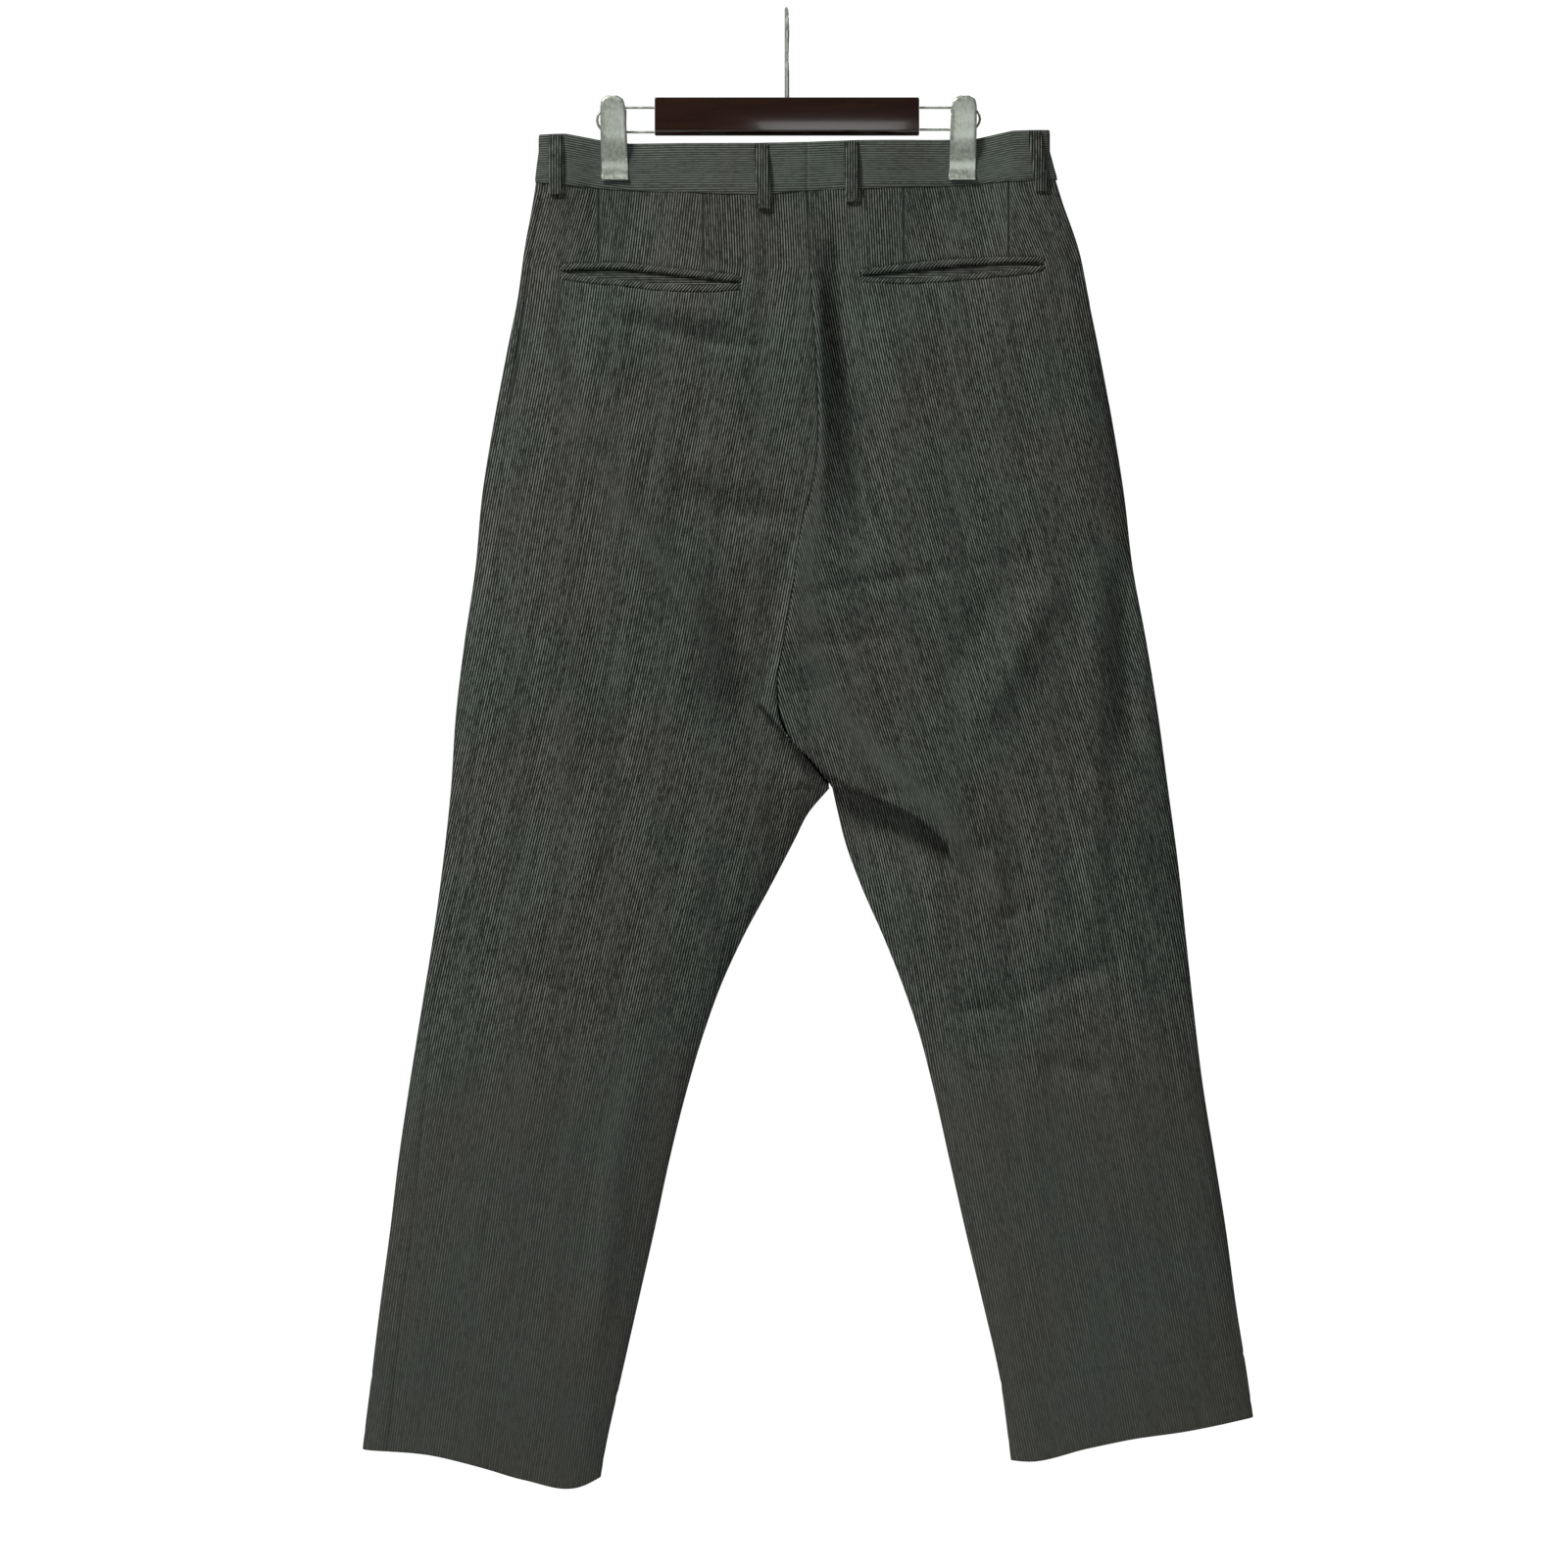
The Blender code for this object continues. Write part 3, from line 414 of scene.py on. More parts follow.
def through(at, knots, values):
    """A soft curve through the rows of a table."""
    knots = np.asarray(knots, float)
    values = np.asarray(values, float)
    if knots[0] > knots[-1]:
        knots = knots[::-1]
        values = values[::-1]
    slopes = np.gradient(values, knots)
    at = np.clip(np.asarray(at, float), knots[0], knots[-1])
    low = np.clip(np.searchsorted(knots, at, side="right") - 1, 0, len(knots) - 2)
    span = knots[low + 1] - knots[low]
    t = (at - knots[low]) / span
    return (
        values[low] * (1 + 2 * t) * (1 - t) ** 2
        + slopes[low] * span * t * (1 - t) ** 2
        + values[low + 1] * t * t * (3 - 2 * t)
        + slopes[low + 1] * span * t * t * (t - 1)
    )


def side_edge(leg, level):
    return curve(level, SIDES, leg)


def half_depth(level):
    return curve(level, SIDES, "half_depth")


def inner_edge(leg, face, level):
    return np.where(level > CROTCH_LEVEL, curve(level, CENTRES, face), curve(level, INSEAMS, leg))


def band_top(x):
    return straight(x, BAND_EDGES, "top")


def band_foot(x):
    return straight(x, BAND_EDGES, "bottom")


def band_spread(x):
    """How far the band's middle stands from the plane of the hanger."""
    past_left = np.maximum(np.abs(x - LEFT_CLIP) - 13.0, 0.0)
    past_right = np.maximum(np.abs(x - RIGHT_CLIP) - 13.0, 0.0)
    near = np.minimum(past_left, past_right)
    between = (x > LEFT_CLIP) & (x < RIGHT_CLIP)
    most = np.where(between, 7.0, 4.0)
    reach = np.where(between, 34.0, 16.0)
    return BAND_WALL / 2 + SEAM_GAP / 2 + most * (1.0 - bell(near / reach))


def lens(across, power):
    return np.sqrt(np.maximum(1.0 - np.clip(across, 0.0, 1.0) ** power, 0.0))


def closing(face, level):
    """One above the crotch curve, falling to nothing at the crotch."""
    start = BACK_CLOSING if face == "back" else FRONT_CLOSING
    down = np.clip((start - level) / (start - CROTCH_LEVEL), 0.0, 1.0)
    return np.sqrt(np.maximum(1.0 - down ** 8.0, 0.0))


# Drape
def fold_rows(rows, x, level):
    """Soft troughs and ridges along straight lines, fading at both ends."""
    total = np.zeros_like(x)
    for row in rows:
        run = math.hypot(row.x1 - row.x0, row.level1 - row.level0)
        ux = (row.x1 - row.x0) / run
        uz = (row.level1 - row.level0) / run
        reach = 2.6 * row.width + 0.14 * run
        near = (x > min(row.x0, row.x1) - reach) & (x < max(row.x0, row.x1) + reach)
        near &= level > min(row.level0, row.level1) - reach
        near &= level < max(row.level0, row.level1) + reach
        px = x[near] - row.x0
        pz = level[near] - row.level0
        along = (px * ux + pz * uz) / run
        off = px * uz - pz * ux
        ends = smooth((along + 0.12) / 0.3) * smooth((1.12 - along) / 0.3)
        total[near] += row.depth * ends * bell(off / row.width)
    return total


def chance_creases(seed, count):
    """Slight creases of worn cloth, scattered over both legs."""
    chance = np.random.RandomState(seed)
    rows = []
    for index in range(count):
        x = chance.uniform(-300.0, 340.0)
        level = chance.uniform(-1080.0, -170.0)
        run = chance.uniform(22.0, 75.0)
        tilt = chance.normal(0.15 if x < 20 else -0.15, 0.55)
        depth = chance.uniform(-0.45, 0.45)
        width = chance.uniform(4.0, 9.0)
        rows.append((
            "slight %d" % index, x, level,
            x + run * math.cos(tilt), level + run * math.sin(tilt), width, depth,
        ))
    return table(FOLD, *rows)


SLIGHT_BACK = chance_creases(11, 90)
SLIGHT_FRONT = chance_creases(23, 90)


def unevenness(x, level):
    """The slow wander of hanging cloth, in millimetres."""
    return (
        0.55 * np.sin(x / 23.0 + 0.8 * np.sin(level / 71.0)) * np.sin(level / 57.0 + 1.3)
        + 0.35 * np.sin(x / 11.0 + level / 38.0) * np.sin(level / 29.0 + x / 90.0)
        + 0.12 * np.sin(x / 4.6 + level / 15.0 + 2.0 * np.sin(level / 41.0))
    )


def along_line(rows, x, level):
    """Distance from a bent line, which side, and its rows' own values."""
    best = np.full_like(x, 1e9)
    signed, way_x, way_z = (np.zeros_like(x) for _ in range(3))
    names = rows[0]._fields[2:]
    values = {name: np.zeros_like(x) for name in names}
    for first, second in zip(rows[:-1], rows[1:]):
        dx = second.x - first.x
        dz = second.level - first.level
        run = math.hypot(dx, dz)
        t = np.clip(((x - first.x) * dx + (level - first.level) * dz) / run ** 2, 0.0, 1.0)
        gap = np.hypot(x - first.x - t * dx, level - first.level - t * dz)
        turn = (x - first.x) * dz - (level - first.level) * dx
        nearer = gap < best
        best = np.where(nearer, gap, best)
        signed = np.where(nearer, -np.sign(turn) * gap, signed)
        way_x = np.where(nearer, dz / run, way_x)
        way_z = np.where(nearer, -dx / run, way_z)
        for name in names:
            low, high = getattr(first, name), getattr(second, name)
            values[name] = np.where(nearer, low + (high - low) * t, values[name])
    return signed, way_x, way_z, values


def bends(tables, x, level):
    """Troughs and ridges along bent lines, steeper on one side."""
    total = np.zeros_like(x)
    for rows in tables:
        places = np.array([(row.x, row.level) for row in rows])
        low, high = places.min(0) - 60.0, places.max(0) + 60.0
        near = (x > low[0]) & (x < high[0]) & (level > low[1]) & (level < high[1])
        if not near.any():
            continue
        signed, _, _, row = along_line(rows, x[near], level[near])
        width = np.where(signed > 0.0, row["right"], row["left"])
        total[near] += row["depth"] * bell(signed / width)
    return total


def painted_sheen(x, level):
    """Painted sheen: where a rounded fold catches the light, its stripes are painted faint and the
    cloth paler.
    """
    most = np.zeros_like(x)
    for rows in PAINTED_SHEEN_BANDS:
        signed, _, _, row = along_line(rows, x, level)
        most = np.maximum(most, row["strength"] * bell(signed / row["width"]))
    return most


def crotch_fold(x, level):
    """The seat rolls out over the fork along one crest.

    Gives the way out, the way in, and how far the lip is carried over."""
    signed, way_x, way_z, row = along_line(CROTCH_FOLD, x, level)
    step = smooth(signed / row["step"] + 0.5)
    out_fade = bell(signed / FOLD_REACH)
    under_fade = bell(signed / UNDER_REACH)
    lip = row["lip"] * step * bell(signed / LIP_REACH)
    way_in = row["under"] * (1.0 - step) * under_fade
    return -row["out"] * step * out_fade, way_in, lip * way_x, lip * way_z


def surface(leg, turn, level):
    """A point of the cloth's middle: turn 0 is the inner edge of the back,
    1 the side and 2 the inner edge of the front."""
    turn = np.asarray(turn, float)
    level = np.asarray(level, float)
    across = 1.0 - np.abs(1.0 - turn)
    back = turn < 1.0

    def inner(at):
        return np.where(back, inner_edge(leg, "back", at), inner_edge(leg, "front", at))

    fade_top = 1.0 - smooth((BAND_LEVEL - level) / 70.0)
    lift = 0.0
    for _ in range(2):
        x = inner(level) + (side_edge(leg, level + lift) - inner(level)) * across
        lift = (band_foot(x) - SEAM_GAP - BAND_LEVEL) * fade_top
    drop = curve(across, HEMS, leg) - HEM_LEVEL
    drop = drop * smooth((HEM_SLANT_START - level) / (HEM_SLANT_START - HEM_LEVEL))
    z = level + lift + drop
    x = inner(z) + (side_edge(leg, z) - inner(z)) * across
    shut = np.where(back, closing("back", level), closing("front", level))
    near_side = lens((across - 0.5) / 0.5, 2.3)
    near_inner = shut + (1.0 - shut) * lens((0.5 - across) / 0.5, 2.3)
    depth = near_side * near_inner
    leg_y = half_depth(level) * depth
    band_y = band_spread(x) * lens(across, 14.0)
    blend = smooth((BAND_LEVEL - level) / 120.0)
    y = band_y * (1.0 - blend) + leg_y * blend
    fade = smooth(depth * 1.6) * smooth((BAND_LEVEL - level) / 60.0)
    hem_fade = smooth((level + 1175.0) / 90.0)
    ground = fade * hem_fade
    light_fade = smooth(depth * 2.5) * smooth((BAND_LEVEL - level + 4.0) / 20.0)
    slow = unevenness(x, z) * light_fade
    back_folds = fold_rows(BACK_FOLDS + BACK_CREASES, x, z) + bends(BACK_BENDS, x, z)
    back_folds = back_folds * ground + (fold_rows(SLIGHT_BACK, x, z) + slow) * light_fade
    out, under, lip_x, lip_z = crotch_fold(x, z)
    back_folds = back_folds + out * smooth(depth * 4.0) + under * depth ** 2
    front_folds = fold_rows(FRONT_FOLDS + FRONT_CREASES, x, z) * ground
    front_folds = front_folds + (fold_rows(SLIGHT_FRONT, x, z) + slow) * light_fade
    y = np.where(back, -y + back_folds, y + front_folds)
    lips = np.where(back, smooth(depth * 4.0), 0.0)
    return np.stack([x + lip_x * lips, y, z + lip_z * lips], axis=-1)


def facing_out(leg, turn, level):
    """The cloth's outward direction at a point."""
    step = np.where(np.abs(1.0 - turn) > 1.0 - 1e-6, 2e-4, 2e-3)
    drop = 0.8
    back_turn = np.clip(turn - step, 0.0, 2.0)
    next_turn = np.clip(turn + step, 0.0, 2.0)
    low = np.maximum(level - drop, HEM_LEVEL)
    high = np.minimum(level + drop, BAND_LEVEL)
    along = surface(leg, next_turn, level) - surface(leg, back_turn, level)
    down = surface(leg, turn, low) - surface(leg, turn, high)
    out = np.cross(along, down)
    if leg == "right":
        out = -out
    return unit(out)


def grid_out(points, flip):
    """Outward directions read from a grid of points."""
    forward = unit(np.diff(points, axis=1))
    along = np.zeros_like(points)
    along[:, 1:] += forward
    along[:, :-1] += forward
    down = np.gradient(points, axis=0)
    out = np.cross(along, down)
    if not flip:
        out = -out
    return unit(out)


def side_turn(leg, level):
    """Where the side seam lies: on the left it has swung round to the back."""
    if leg == "right":
        return np.ones_like(level)
    width = side_edge(leg, level) - inner_edge(leg, "back", level)
    wrap = curve(level, SIDES, "left_wrap")
    return 1.0 - wrap / np.abs(width)


# Cloth
def grain_place(leg, points):
    """Metres of cloth across the grain: a straight line down the leg is 0."""
    levels = np.linspace(-60.0, -1200.0, 229)
    slope = curve(levels, GRAINS, leg)
    line = np.cumsum(slope) * (levels[1] - levels[0])
    centre = np.interp(-points[..., 2], -levels, line)
    across = points[..., 0] - centre
    for dart in DARTS:
        if dart.leg != leg:
            continue
        depth = np.clip((BAND_LEVEL - points[..., 2]) / dart.length, 0.0, 1.0)
        swing = (1.0 - depth) * dart.take_up / 2
        across = across + np.tanh((points[..., 0] - dart.x) / 1.0) * swing
    return across * 0.975 * MM


def lay_grid(name, points, cloth_map, sheen_marks=None):
    """A grid of cloth moved to its place, with its map of the cloth."""
    rows, cols = points.shape[:2]
    mesh = bmesh.new()
    map_layer = mesh.loops.layers.uv.new("cloth")
    bmesh.ops.create_grid(mesh, x_segments=cols - 1, y_segments=rows - 1, size=0.5)
    # The strength of painted sheen at each point of the cloth.
    sheen_layer = mesh.verts.layers.float.new("painted_sheen")
    places = {}
    for vert in mesh.verts:
        c = int(round((vert.co.x + 0.5) * (cols - 1)))
        r = int(round((0.5 - vert.co.y) * (rows - 1)))
        places[vert.index] = (r, c)
    for vert in mesh.verts:
        r, c = places[vert.index]
        vert.co = points[r, c] * MM
        if sheen_marks is not None:
            vert[sheen_layer] = sheen_marks[r, c]
    for face in mesh.faces:
        face.smooth = True
        for loop in face.loops:
            loop[map_layer].uv = cloth_map[places[loop.vert.index]]
    return finish_mesh(name, mesh)


def finish_mesh(name, mesh, soft=False):
    for face in mesh.faces if soft else ():
        face.smooth = True
    data = bpy.data.meshes.new(name)
    mesh.to_mesh(data)
    mesh.free()
    thing = bpy.data.objects.new(name, data)
    bpy.context.scene.collection.objects.link(thing)
    return thing


def face_outward(piece, towards):
    """Turns a sheet over if its faces point the wrong way."""
    if sum(face.normal.y * face.area for face in piece.data.polygons) * towards < 0:
        piece.data.flip_normals()


def spread_places(count, ends):
    """Places from 0 to 1, closer together at the ends."""
    t = np.linspace(0.0, 1.0, count)
    return t - ends * np.sin(2 * math.pi * t) / (2 * math.pi)


def roll_edges(points, out, depth=1.5, reach=2.6):
    """Both long edges turn in where they are sewn."""
    points = points.copy()
    for flip in (False, True):
        line = points[:, ::-1] if flip else points
        way = out[:, ::-1] if flip else out
        turn_in = np.clip(1.0 - run_along(line) / reach, 0.0, 1.0) ** 2 * depth
        line -= way * turn_in[..., None]
    return points


def turn_hem(leg, points, out, turn):
    """Rows that carry the hem's turning up inside the leg."""
    rows = []
    for part in (0.2, 0.4, 0.6, 0.8, 1.0):
        row = points[-1] - out[-1] * (HEM_INSET / 2 * (1.0 - math.cos(math.pi * part)))
        row[:, 2] -= math.sin(math.pi * part)
        rows.append(row)
    for rise in np.linspace(4.0, HEM_TURNING, 12):
        level = np.full(turn.shape[1], HEM_LEVEL + rise)
        inside = facing_out(leg, turn[-1], level) * HEM_INSET
        rows.append(surface(leg, turn[-1], level) - inside)
    return np.array(rows)


def hem_line(levels):
    """The faint line where the turning is caught, and the pressed edge."""
    catch = bell((levels - HEM_LEVEL - HEM_TURNING) / 2.2) * 0.45
    press = bell((levels - HEM_LEVEL - 13.0) / 3.0) * 0.25
    return catch + press


SURFACES = {}


def mouth_edges(leg, x):
    """The four edges of a back pocket at places across."""
    return [curve(x, POCKETS[leg], name) for name in MOUTH.split()[1:]]


def pocket_hollow(leg, x, z):
    """How far the cloth is sunk under the jettings and in the mouth."""
    rows = POCKETS[leg]
    top, _, _, foot = mouth_edges(leg, x)
    middle = (top + foot) / 2
    half = (top - foot) / 2
    ends = smooth((x - rows[0].across + 1.0) / 3.0) * smooth((rows[-1].across + 1.0 - x) / 3.0)
    return POCKET_SUNK * ends * smooth((half + 0.4 - np.abs(z - middle)) / 2.6)


def open_slit(level):
    """One along the side pocket's mouth, nothing above and below it."""
    return smooth((level - SLIT_FOOT) / 6.0) * smooth((SLIT_TOP - level) / 6.0)


def cloth_panel(name, leg, turn, levels, layers=None):
    level = levels[:, None] + np.zeros(turn.shape[1])
    points = surface(leg, turn, level)
    out = facing_out(leg, turn, level)
    if layers is None:
        SURFACES["back", leg] = (points.copy(), out.copy())
        sunk = pocket_hollow(leg, points[..., 0], points[..., 2])
        points = points - out * sunk[..., None]
    else:
        points = points - out * (layers * LAYER)[..., None]
        folded = grid_out(points, leg == "right")
        busy = smooth(layers * 4.0)[..., None]
        out = out * (1.0 - busy) + folded * busy
        SURFACES["front", leg] = (points.copy(), out.copy())
    points = points - out * hem_line(level)[..., None]
    points = roll_edges(points, out)
    slit = open_slit(levels)[:, None] * (1.7 if leg == "left" else 0.8)
    run = np.abs(np.linalg.norm(points - points[:, -1:], axis=-1))
    lip = slit * np.clip(1.0 - run / 3.2, 0.0, 1.0)
    points = points - out * (lip * 1.6)[..., None]
    away = unit(points[:, -4:-3] - points[:, -1:])
    points = points + away * (lip * 0.5)[..., None]
    turned = turn_hem(leg, points, out, turn)
    inside = 2 * points[-1, :, 2] - turned[..., 2]
    cloth_map = np.stack([grain_place(leg, points), points[..., 2] * MM], axis=-1)
    inside_map = np.stack([grain_place(leg, turned), inside * MM], axis=-1)
    sheen_marks = np.zeros(points.shape[:2])
    # Painted sheen on the lit folds of the back panels.
    if layers is None:
        sheen_marks = painted_sheen(points[..., 0], points[..., 2])
    return lay_grid(
        name,
        np.concatenate([points, turned]),
        np.concatenate([cloth_map, inside_map]),
        np.concatenate([sheen_marks, np.zeros(turned.shape[:2])]),
    )


def back_panel(leg):
    levels = np.linspace(BAND_LEVEL, HEM_LEVEL, 460)
    level = levels[:, None] + np.zeros(156)
    turn = spread_places(156, 0.5) * side_turn(leg, level)
    piece = cloth_panel("back_cloth_" + leg, leg, turn, levels)
    face_outward(piece, -1)
    return piece


def pleat_nodes(leg):
    """Places across the front, with the pleats' layers between them."""
    nodes = [(place, None, 0.0, 0.0, 0.0) for place in FRONT_PLACES]
    for pleat in PLEATS:
        take = pleat.take_up
        folded = (-take - 5.0, -0.9, 0.0, -0.9, -take + 0.9, -take, -take + 0.9, 4.5)
        opened = (-15.0, -9.5, -6.0, -2.5, 1.0, 4.5, 8.0, 14.0)
        layers = (0.0, 0.0, 0.5, 1.0, 1.0, 1.5, 2.0, 2.0)
        for index in range(8):
            key = getattr(pleat, leg) + 0.0001 * index
            nodes.append((key, pleat, folded[index], opened[index], layers[index]))
    nodes.sort(key=lambda node: node[0])
    return nodes


def front_panel(leg):
    levels = np.linspace(BAND_LEVEL, HEM_LEVEL, 360)
    width = np.abs(side_edge(leg, levels) - inner_edge(leg, "front", levels))
    turns = []
    layers = []
    for place, pleat, folded, opened, layer in pleat_nodes(leg):
        if pleat is None:
            turns.append(2.0 - np.full_like(levels, place))
            layers.append(np.zeros_like(levels))
            continue
        open_up = np.clip((BAND_LEVEL - levels) / pleat.length, 0.0, 1.0)
        offset = folded + (opened - folded) * smooth(open_up / 0.75)
        turns.append(2.0 - getattr(pleat, leg) - offset / width)
        layers.append(layer * (1.0 - smooth((open_up - 0.62) / 0.38)))
    if leg == "left":
        last = side_turn(leg, levels)
        for part in (0.35, 0.7, 1.0):
            turns.append(1.0 + (last - 1.0) * part)
            layers.append(np.zeros_like(levels))
    turns = np.stack(turns, axis=1)
    layers = np.stack(layers, axis=1)
    both = np.stack([turns, layers])
    fine = [both[..., :1]]
    for c in range(turns.shape[1] - 1):
        gap = float(np.abs(turns[-1, c + 1] - turns[-1, c]) * width[-1])
        count = int(np.clip(round(gap / 2.6), 2, 40))
        part = np.linspace(0.0, 1.0, count + 1)[1:]
        fine.append(both[..., c:c + 1] * (1 - part) + both[..., c + 1:c + 2] * part)
    turn, layer = np.concatenate(fine, axis=2)
    piece = cloth_panel("front_cloth_" + leg, leg, turn, levels, layer)
    face_outward(piece, 1)
    return piece

# Materials
class Socket:
    """An output that sums and multiplies like a number."""

    def __init__(self, graph, out):
        self.graph = graph
        self.out = out

    def maths(self, operation, *values):
        return self.graph.node("ShaderNodeMath", {"operation": operation}, dict(enumerate(values)))

    def __add__(self, other):
        return self.maths("ADD", self, other)

    def __radd__(self, other):
        return self.maths("ADD", other, self)

    def __sub__(self, other):
        return self.maths("SUBTRACT", self, other)

    def __rsub__(self, other):
        return self.maths("SUBTRACT", other, self)

    def __mul__(self, other):
        return self.maths("MULTIPLY", self, other)

    def __rmul__(self, other):
        return self.maths("MULTIPLY", other, self)

    def __truediv__(self, other):
        return self.maths("DIVIDE", self, other)

    def floor(self):
        return self.maths("FLOOR", self)

    def abs(self):
        return self.maths("ABSOLUTE", self)

    def between(self, low, high, start=0.0, end=1.0):
        """Runs smoothly from start to end as the value runs from low to high."""
        return self.graph.node(
            "ShaderNodeMapRange",
            {"interpolation_type": "SMOOTHSTEP"},
            {"Value": self, "From Min": low, "From Max": high, "To Min": start, "To Max": end},
        )


class Graph:
    """The nodes of one material."""

    def __init__(self, name, **constants):
        self.material = bpy.data.materials.new(name)
        self.material.use_nodes = True
        self.nodes = self.material.node_tree.nodes
        self.links = self.material.node_tree.links
        self.shader = self.nodes["Principled BSDF"]
        for key, value in constants.items():
            self.shader.inputs[key.replace("_", " ")].default_value = value

    def node(self, kind, settings=None, inputs=None, output=0):
        made = self.nodes.new(kind)
        for key, value in (settings or {}).items():
            setattr(made, key, value)
        for key, value in (inputs or {}).items():
            self.join(made.inputs[key], value)
        return Socket(self, made.outputs[output])

    def join(self, socket, value):
        if isinstance(value, Socket):
            self.links.new(value.out, socket)
        else:
            socket.default_value = value

    def feed(self, key, value):
        self.join(self.shader.inputs[key], value)

    def place(self):
        return self.node("ShaderNodeTexCoord", output="Object")

    def parts(self, vector):
        split = self.node("ShaderNodeSeparateXYZ", inputs={0: vector}).out.node
        return [Socket(self, split.outputs[i]) for i in range(3)]

    def point(self, x=0.0, y=0.0, z=0.0):
        return self.node("ShaderNodeCombineXYZ", inputs={0: x, 1: y, 2: z})

    def noise(self, vector, scale, detail=2.0, rough=0.5):
        return self.node(
            "ShaderNodeTexNoise", None,
            {"Vector": vector, "Scale": scale, "Detail": detail, "Roughness": rough},
        )

    def mix(self, factor, first, second):
        made = self.nodes.new("ShaderNodeMix")
        made.data_type = "RGBA"
        self.join(made.inputs[0], factor)
        self.join(made.inputs[6], first)
        self.join(made.inputs[7], second)
        return Socket(self, made.outputs[2])

    def bump(self, height, strength, distance):
        self.feed("Normal", self.node(
            "ShaderNodeBump", None,
            {"Height": height, "Strength": strength, "Distance": distance},
        ))


GROUND_GREEN = (0.0056, 0.0070, 0.0058, 1.0)
GROUND_BROWN = (0.0076, 0.0070, 0.0064, 1.0)
THREAD_GREEN = (0.190, 0.216, 0.187, 1.0)
THREAD_BROWN = (0.210, 0.212, 0.188, 1.0)
# The paler colour painted where folds catch the light: painted sheen.
PAINTED_SHEEN_COLOUR = (0.0860, 0.0980, 0.0840, 1.0)
MIXED_GREEN = (0.0530, 0.0575, 0.0505, 1.0)
MIXED_BROWN = (0.0560, 0.0545, 0.0490, 1.0)


def suiting(name, turn=0.0, pale=1.0, fade=True, darts=False, blend=0.0):
    """Charcoal worsted with fine, uneven pale threads along the stripe."""
    g = Graph(name, Roughness=0.85, Sheen_Weight=0.02, Sheen_Roughness=0.5, Specular_IOR_Level=0.04)
    flat = g.node("ShaderNodeUVMap", {"uv_map": "cloth"})
    if turn:
        flat = g.node(
            "ShaderNodeVectorRotate", {"rotation_type": "Z_AXIS"}, {"Vector": flat, "Angle": turn},
        )
    u, v, _ = g.parts(flat)
    place = g.place()
    across, _, height = g.parts(place)
    wander = g.noise(g.point(u * 40.0, v * 16.0), 1.0, 1.0) - 0.5
    phase = u / STRIPE_PITCH + wander * 0.5
    line = phase.floor()
    off = (phase - line - 0.5).abs() * 2.0
    thread = off.between(0.05, 0.72, 1.0, 0.0)
    thread = thread * (thread * 0.5 + 0.5)
    strength = g.node("ShaderNodeTexWhiteNoise", {"noise_dimensions": "1D"}, {"W": line})
    slub = g.noise(g.point(line * 3.7, v * 130.0), 1.0, 3.0, 0.65)
    grain = g.noise(g.point(u * 900.0, v * 420.0), 1.0, 2.0, 0.6)
    level = strength * 0.3 + slub.between(0.25, 0.75, 0.22, 1.25)
    broad = g.noise(g.point(u * 90.0, v * 10.0), 1.0, 2.0)
    level = level * broad.between(0.2, 0.8, 0.75, 1.15)
    if fade:
        # Painted sheen: where folds catch the light, the stripes are painted faint and the cloth
        # paler.
        sheen_mask = g.node("ShaderNodeAttribute", {"attribute_name": "painted_sheen"}, output="Fac")
        clear = height.between(-0.875, -0.745, 0.42, 1.0) * height.between(-1.12, -0.92, 0.62, 1.0)
        clear = clear * (1.0 - sheen_mask * 0.6)
    patch = g.noise(place, 9.0, 3.0, 0.55).between(0.34, 0.66)
    ground = g.mix(patch, GROUND_GREEN, GROUND_BROWN)
    pale_thread = g.mix(patch, THREAD_GREEN, THREAD_BROWN)
    mixed = g.mix(patch, MIXED_GREEN, MIXED_BROWN)
    ground = g.mix(grain.between(0.3, 0.8, 0.0, 0.14), ground, mixed)
    striped = g.mix(thread * level * pale, ground, pale_thread)
    if fade:
        # Painted sheen on the lit folds.
        lit = g.mix(sheen_mask * 0.8, mixed, PAINTED_SHEEN_COLOUR)
        striped = g.mix(clear, lit, striped)
    # Painted highlight: mixes the whole piece toward the painted sheen colour.
    if blend:
        striped = g.mix(blend, striped, PAINTED_SHEEN_COLOUR)
    if darts:
        shade = 0.0
        for dart in DARTS:
            line = (across * 1000.0 - dart.x).abs().between(0.35, 1.1, 1.0, 0.0)
            foot = BAND_LEVEL - dart.length
            shade = line * (height * 1000.0).between(foot, foot + 4.0) + shade
        striped = g.mix(shade * 0.75, striped, GROUND_GREEN)
    g.feed("Base Color", striped)
    g.bump(thread * 0.5 + grain * 0.8, 0.25, 0.0003)
    return g.material


def plain(name, colour, rough):
    g = Graph(name, Roughness=rough)
    g.feed("Base Color", (*colour, 1.0))
    return g.material


def wood_look():
    g = Graph("dark lacquered wood", Roughness=0.16, Coat_Weight=0.5, Coat_Roughness=0.06)
    x, y, z = g.parts(g.place())
    grain = g.noise(g.point(x * 18.0, y * 240.0, z * 240.0), 1.0, 4.0, 0.6)
    g.feed("Base Color", g.mix(
        grain.between(0.3, 0.7), (0.0125, 0.0034, 0.0012, 1.0), (0.0230, 0.0065, 0.0020, 1.0),
    ))
    return g.material


def nickel_look():
    g = Graph("satin nickel", Metallic=0.65)
    x, y, z = g.parts(g.place())
    mottle = g.noise(g.point(x * 420.0, y * 420.0, z * 300.0), 1.0, 3.0)
    tone = g.mix(mottle.between(0.3, 0.7), (0.36, 0.39, 0.33, 1.0), (0.52, 0.555, 0.475, 1.0))
    g.feed("Base Color", tone)
    g.feed("Roughness", mottle.between(0.2, 0.8, 0.30, 0.42))
    return g.material


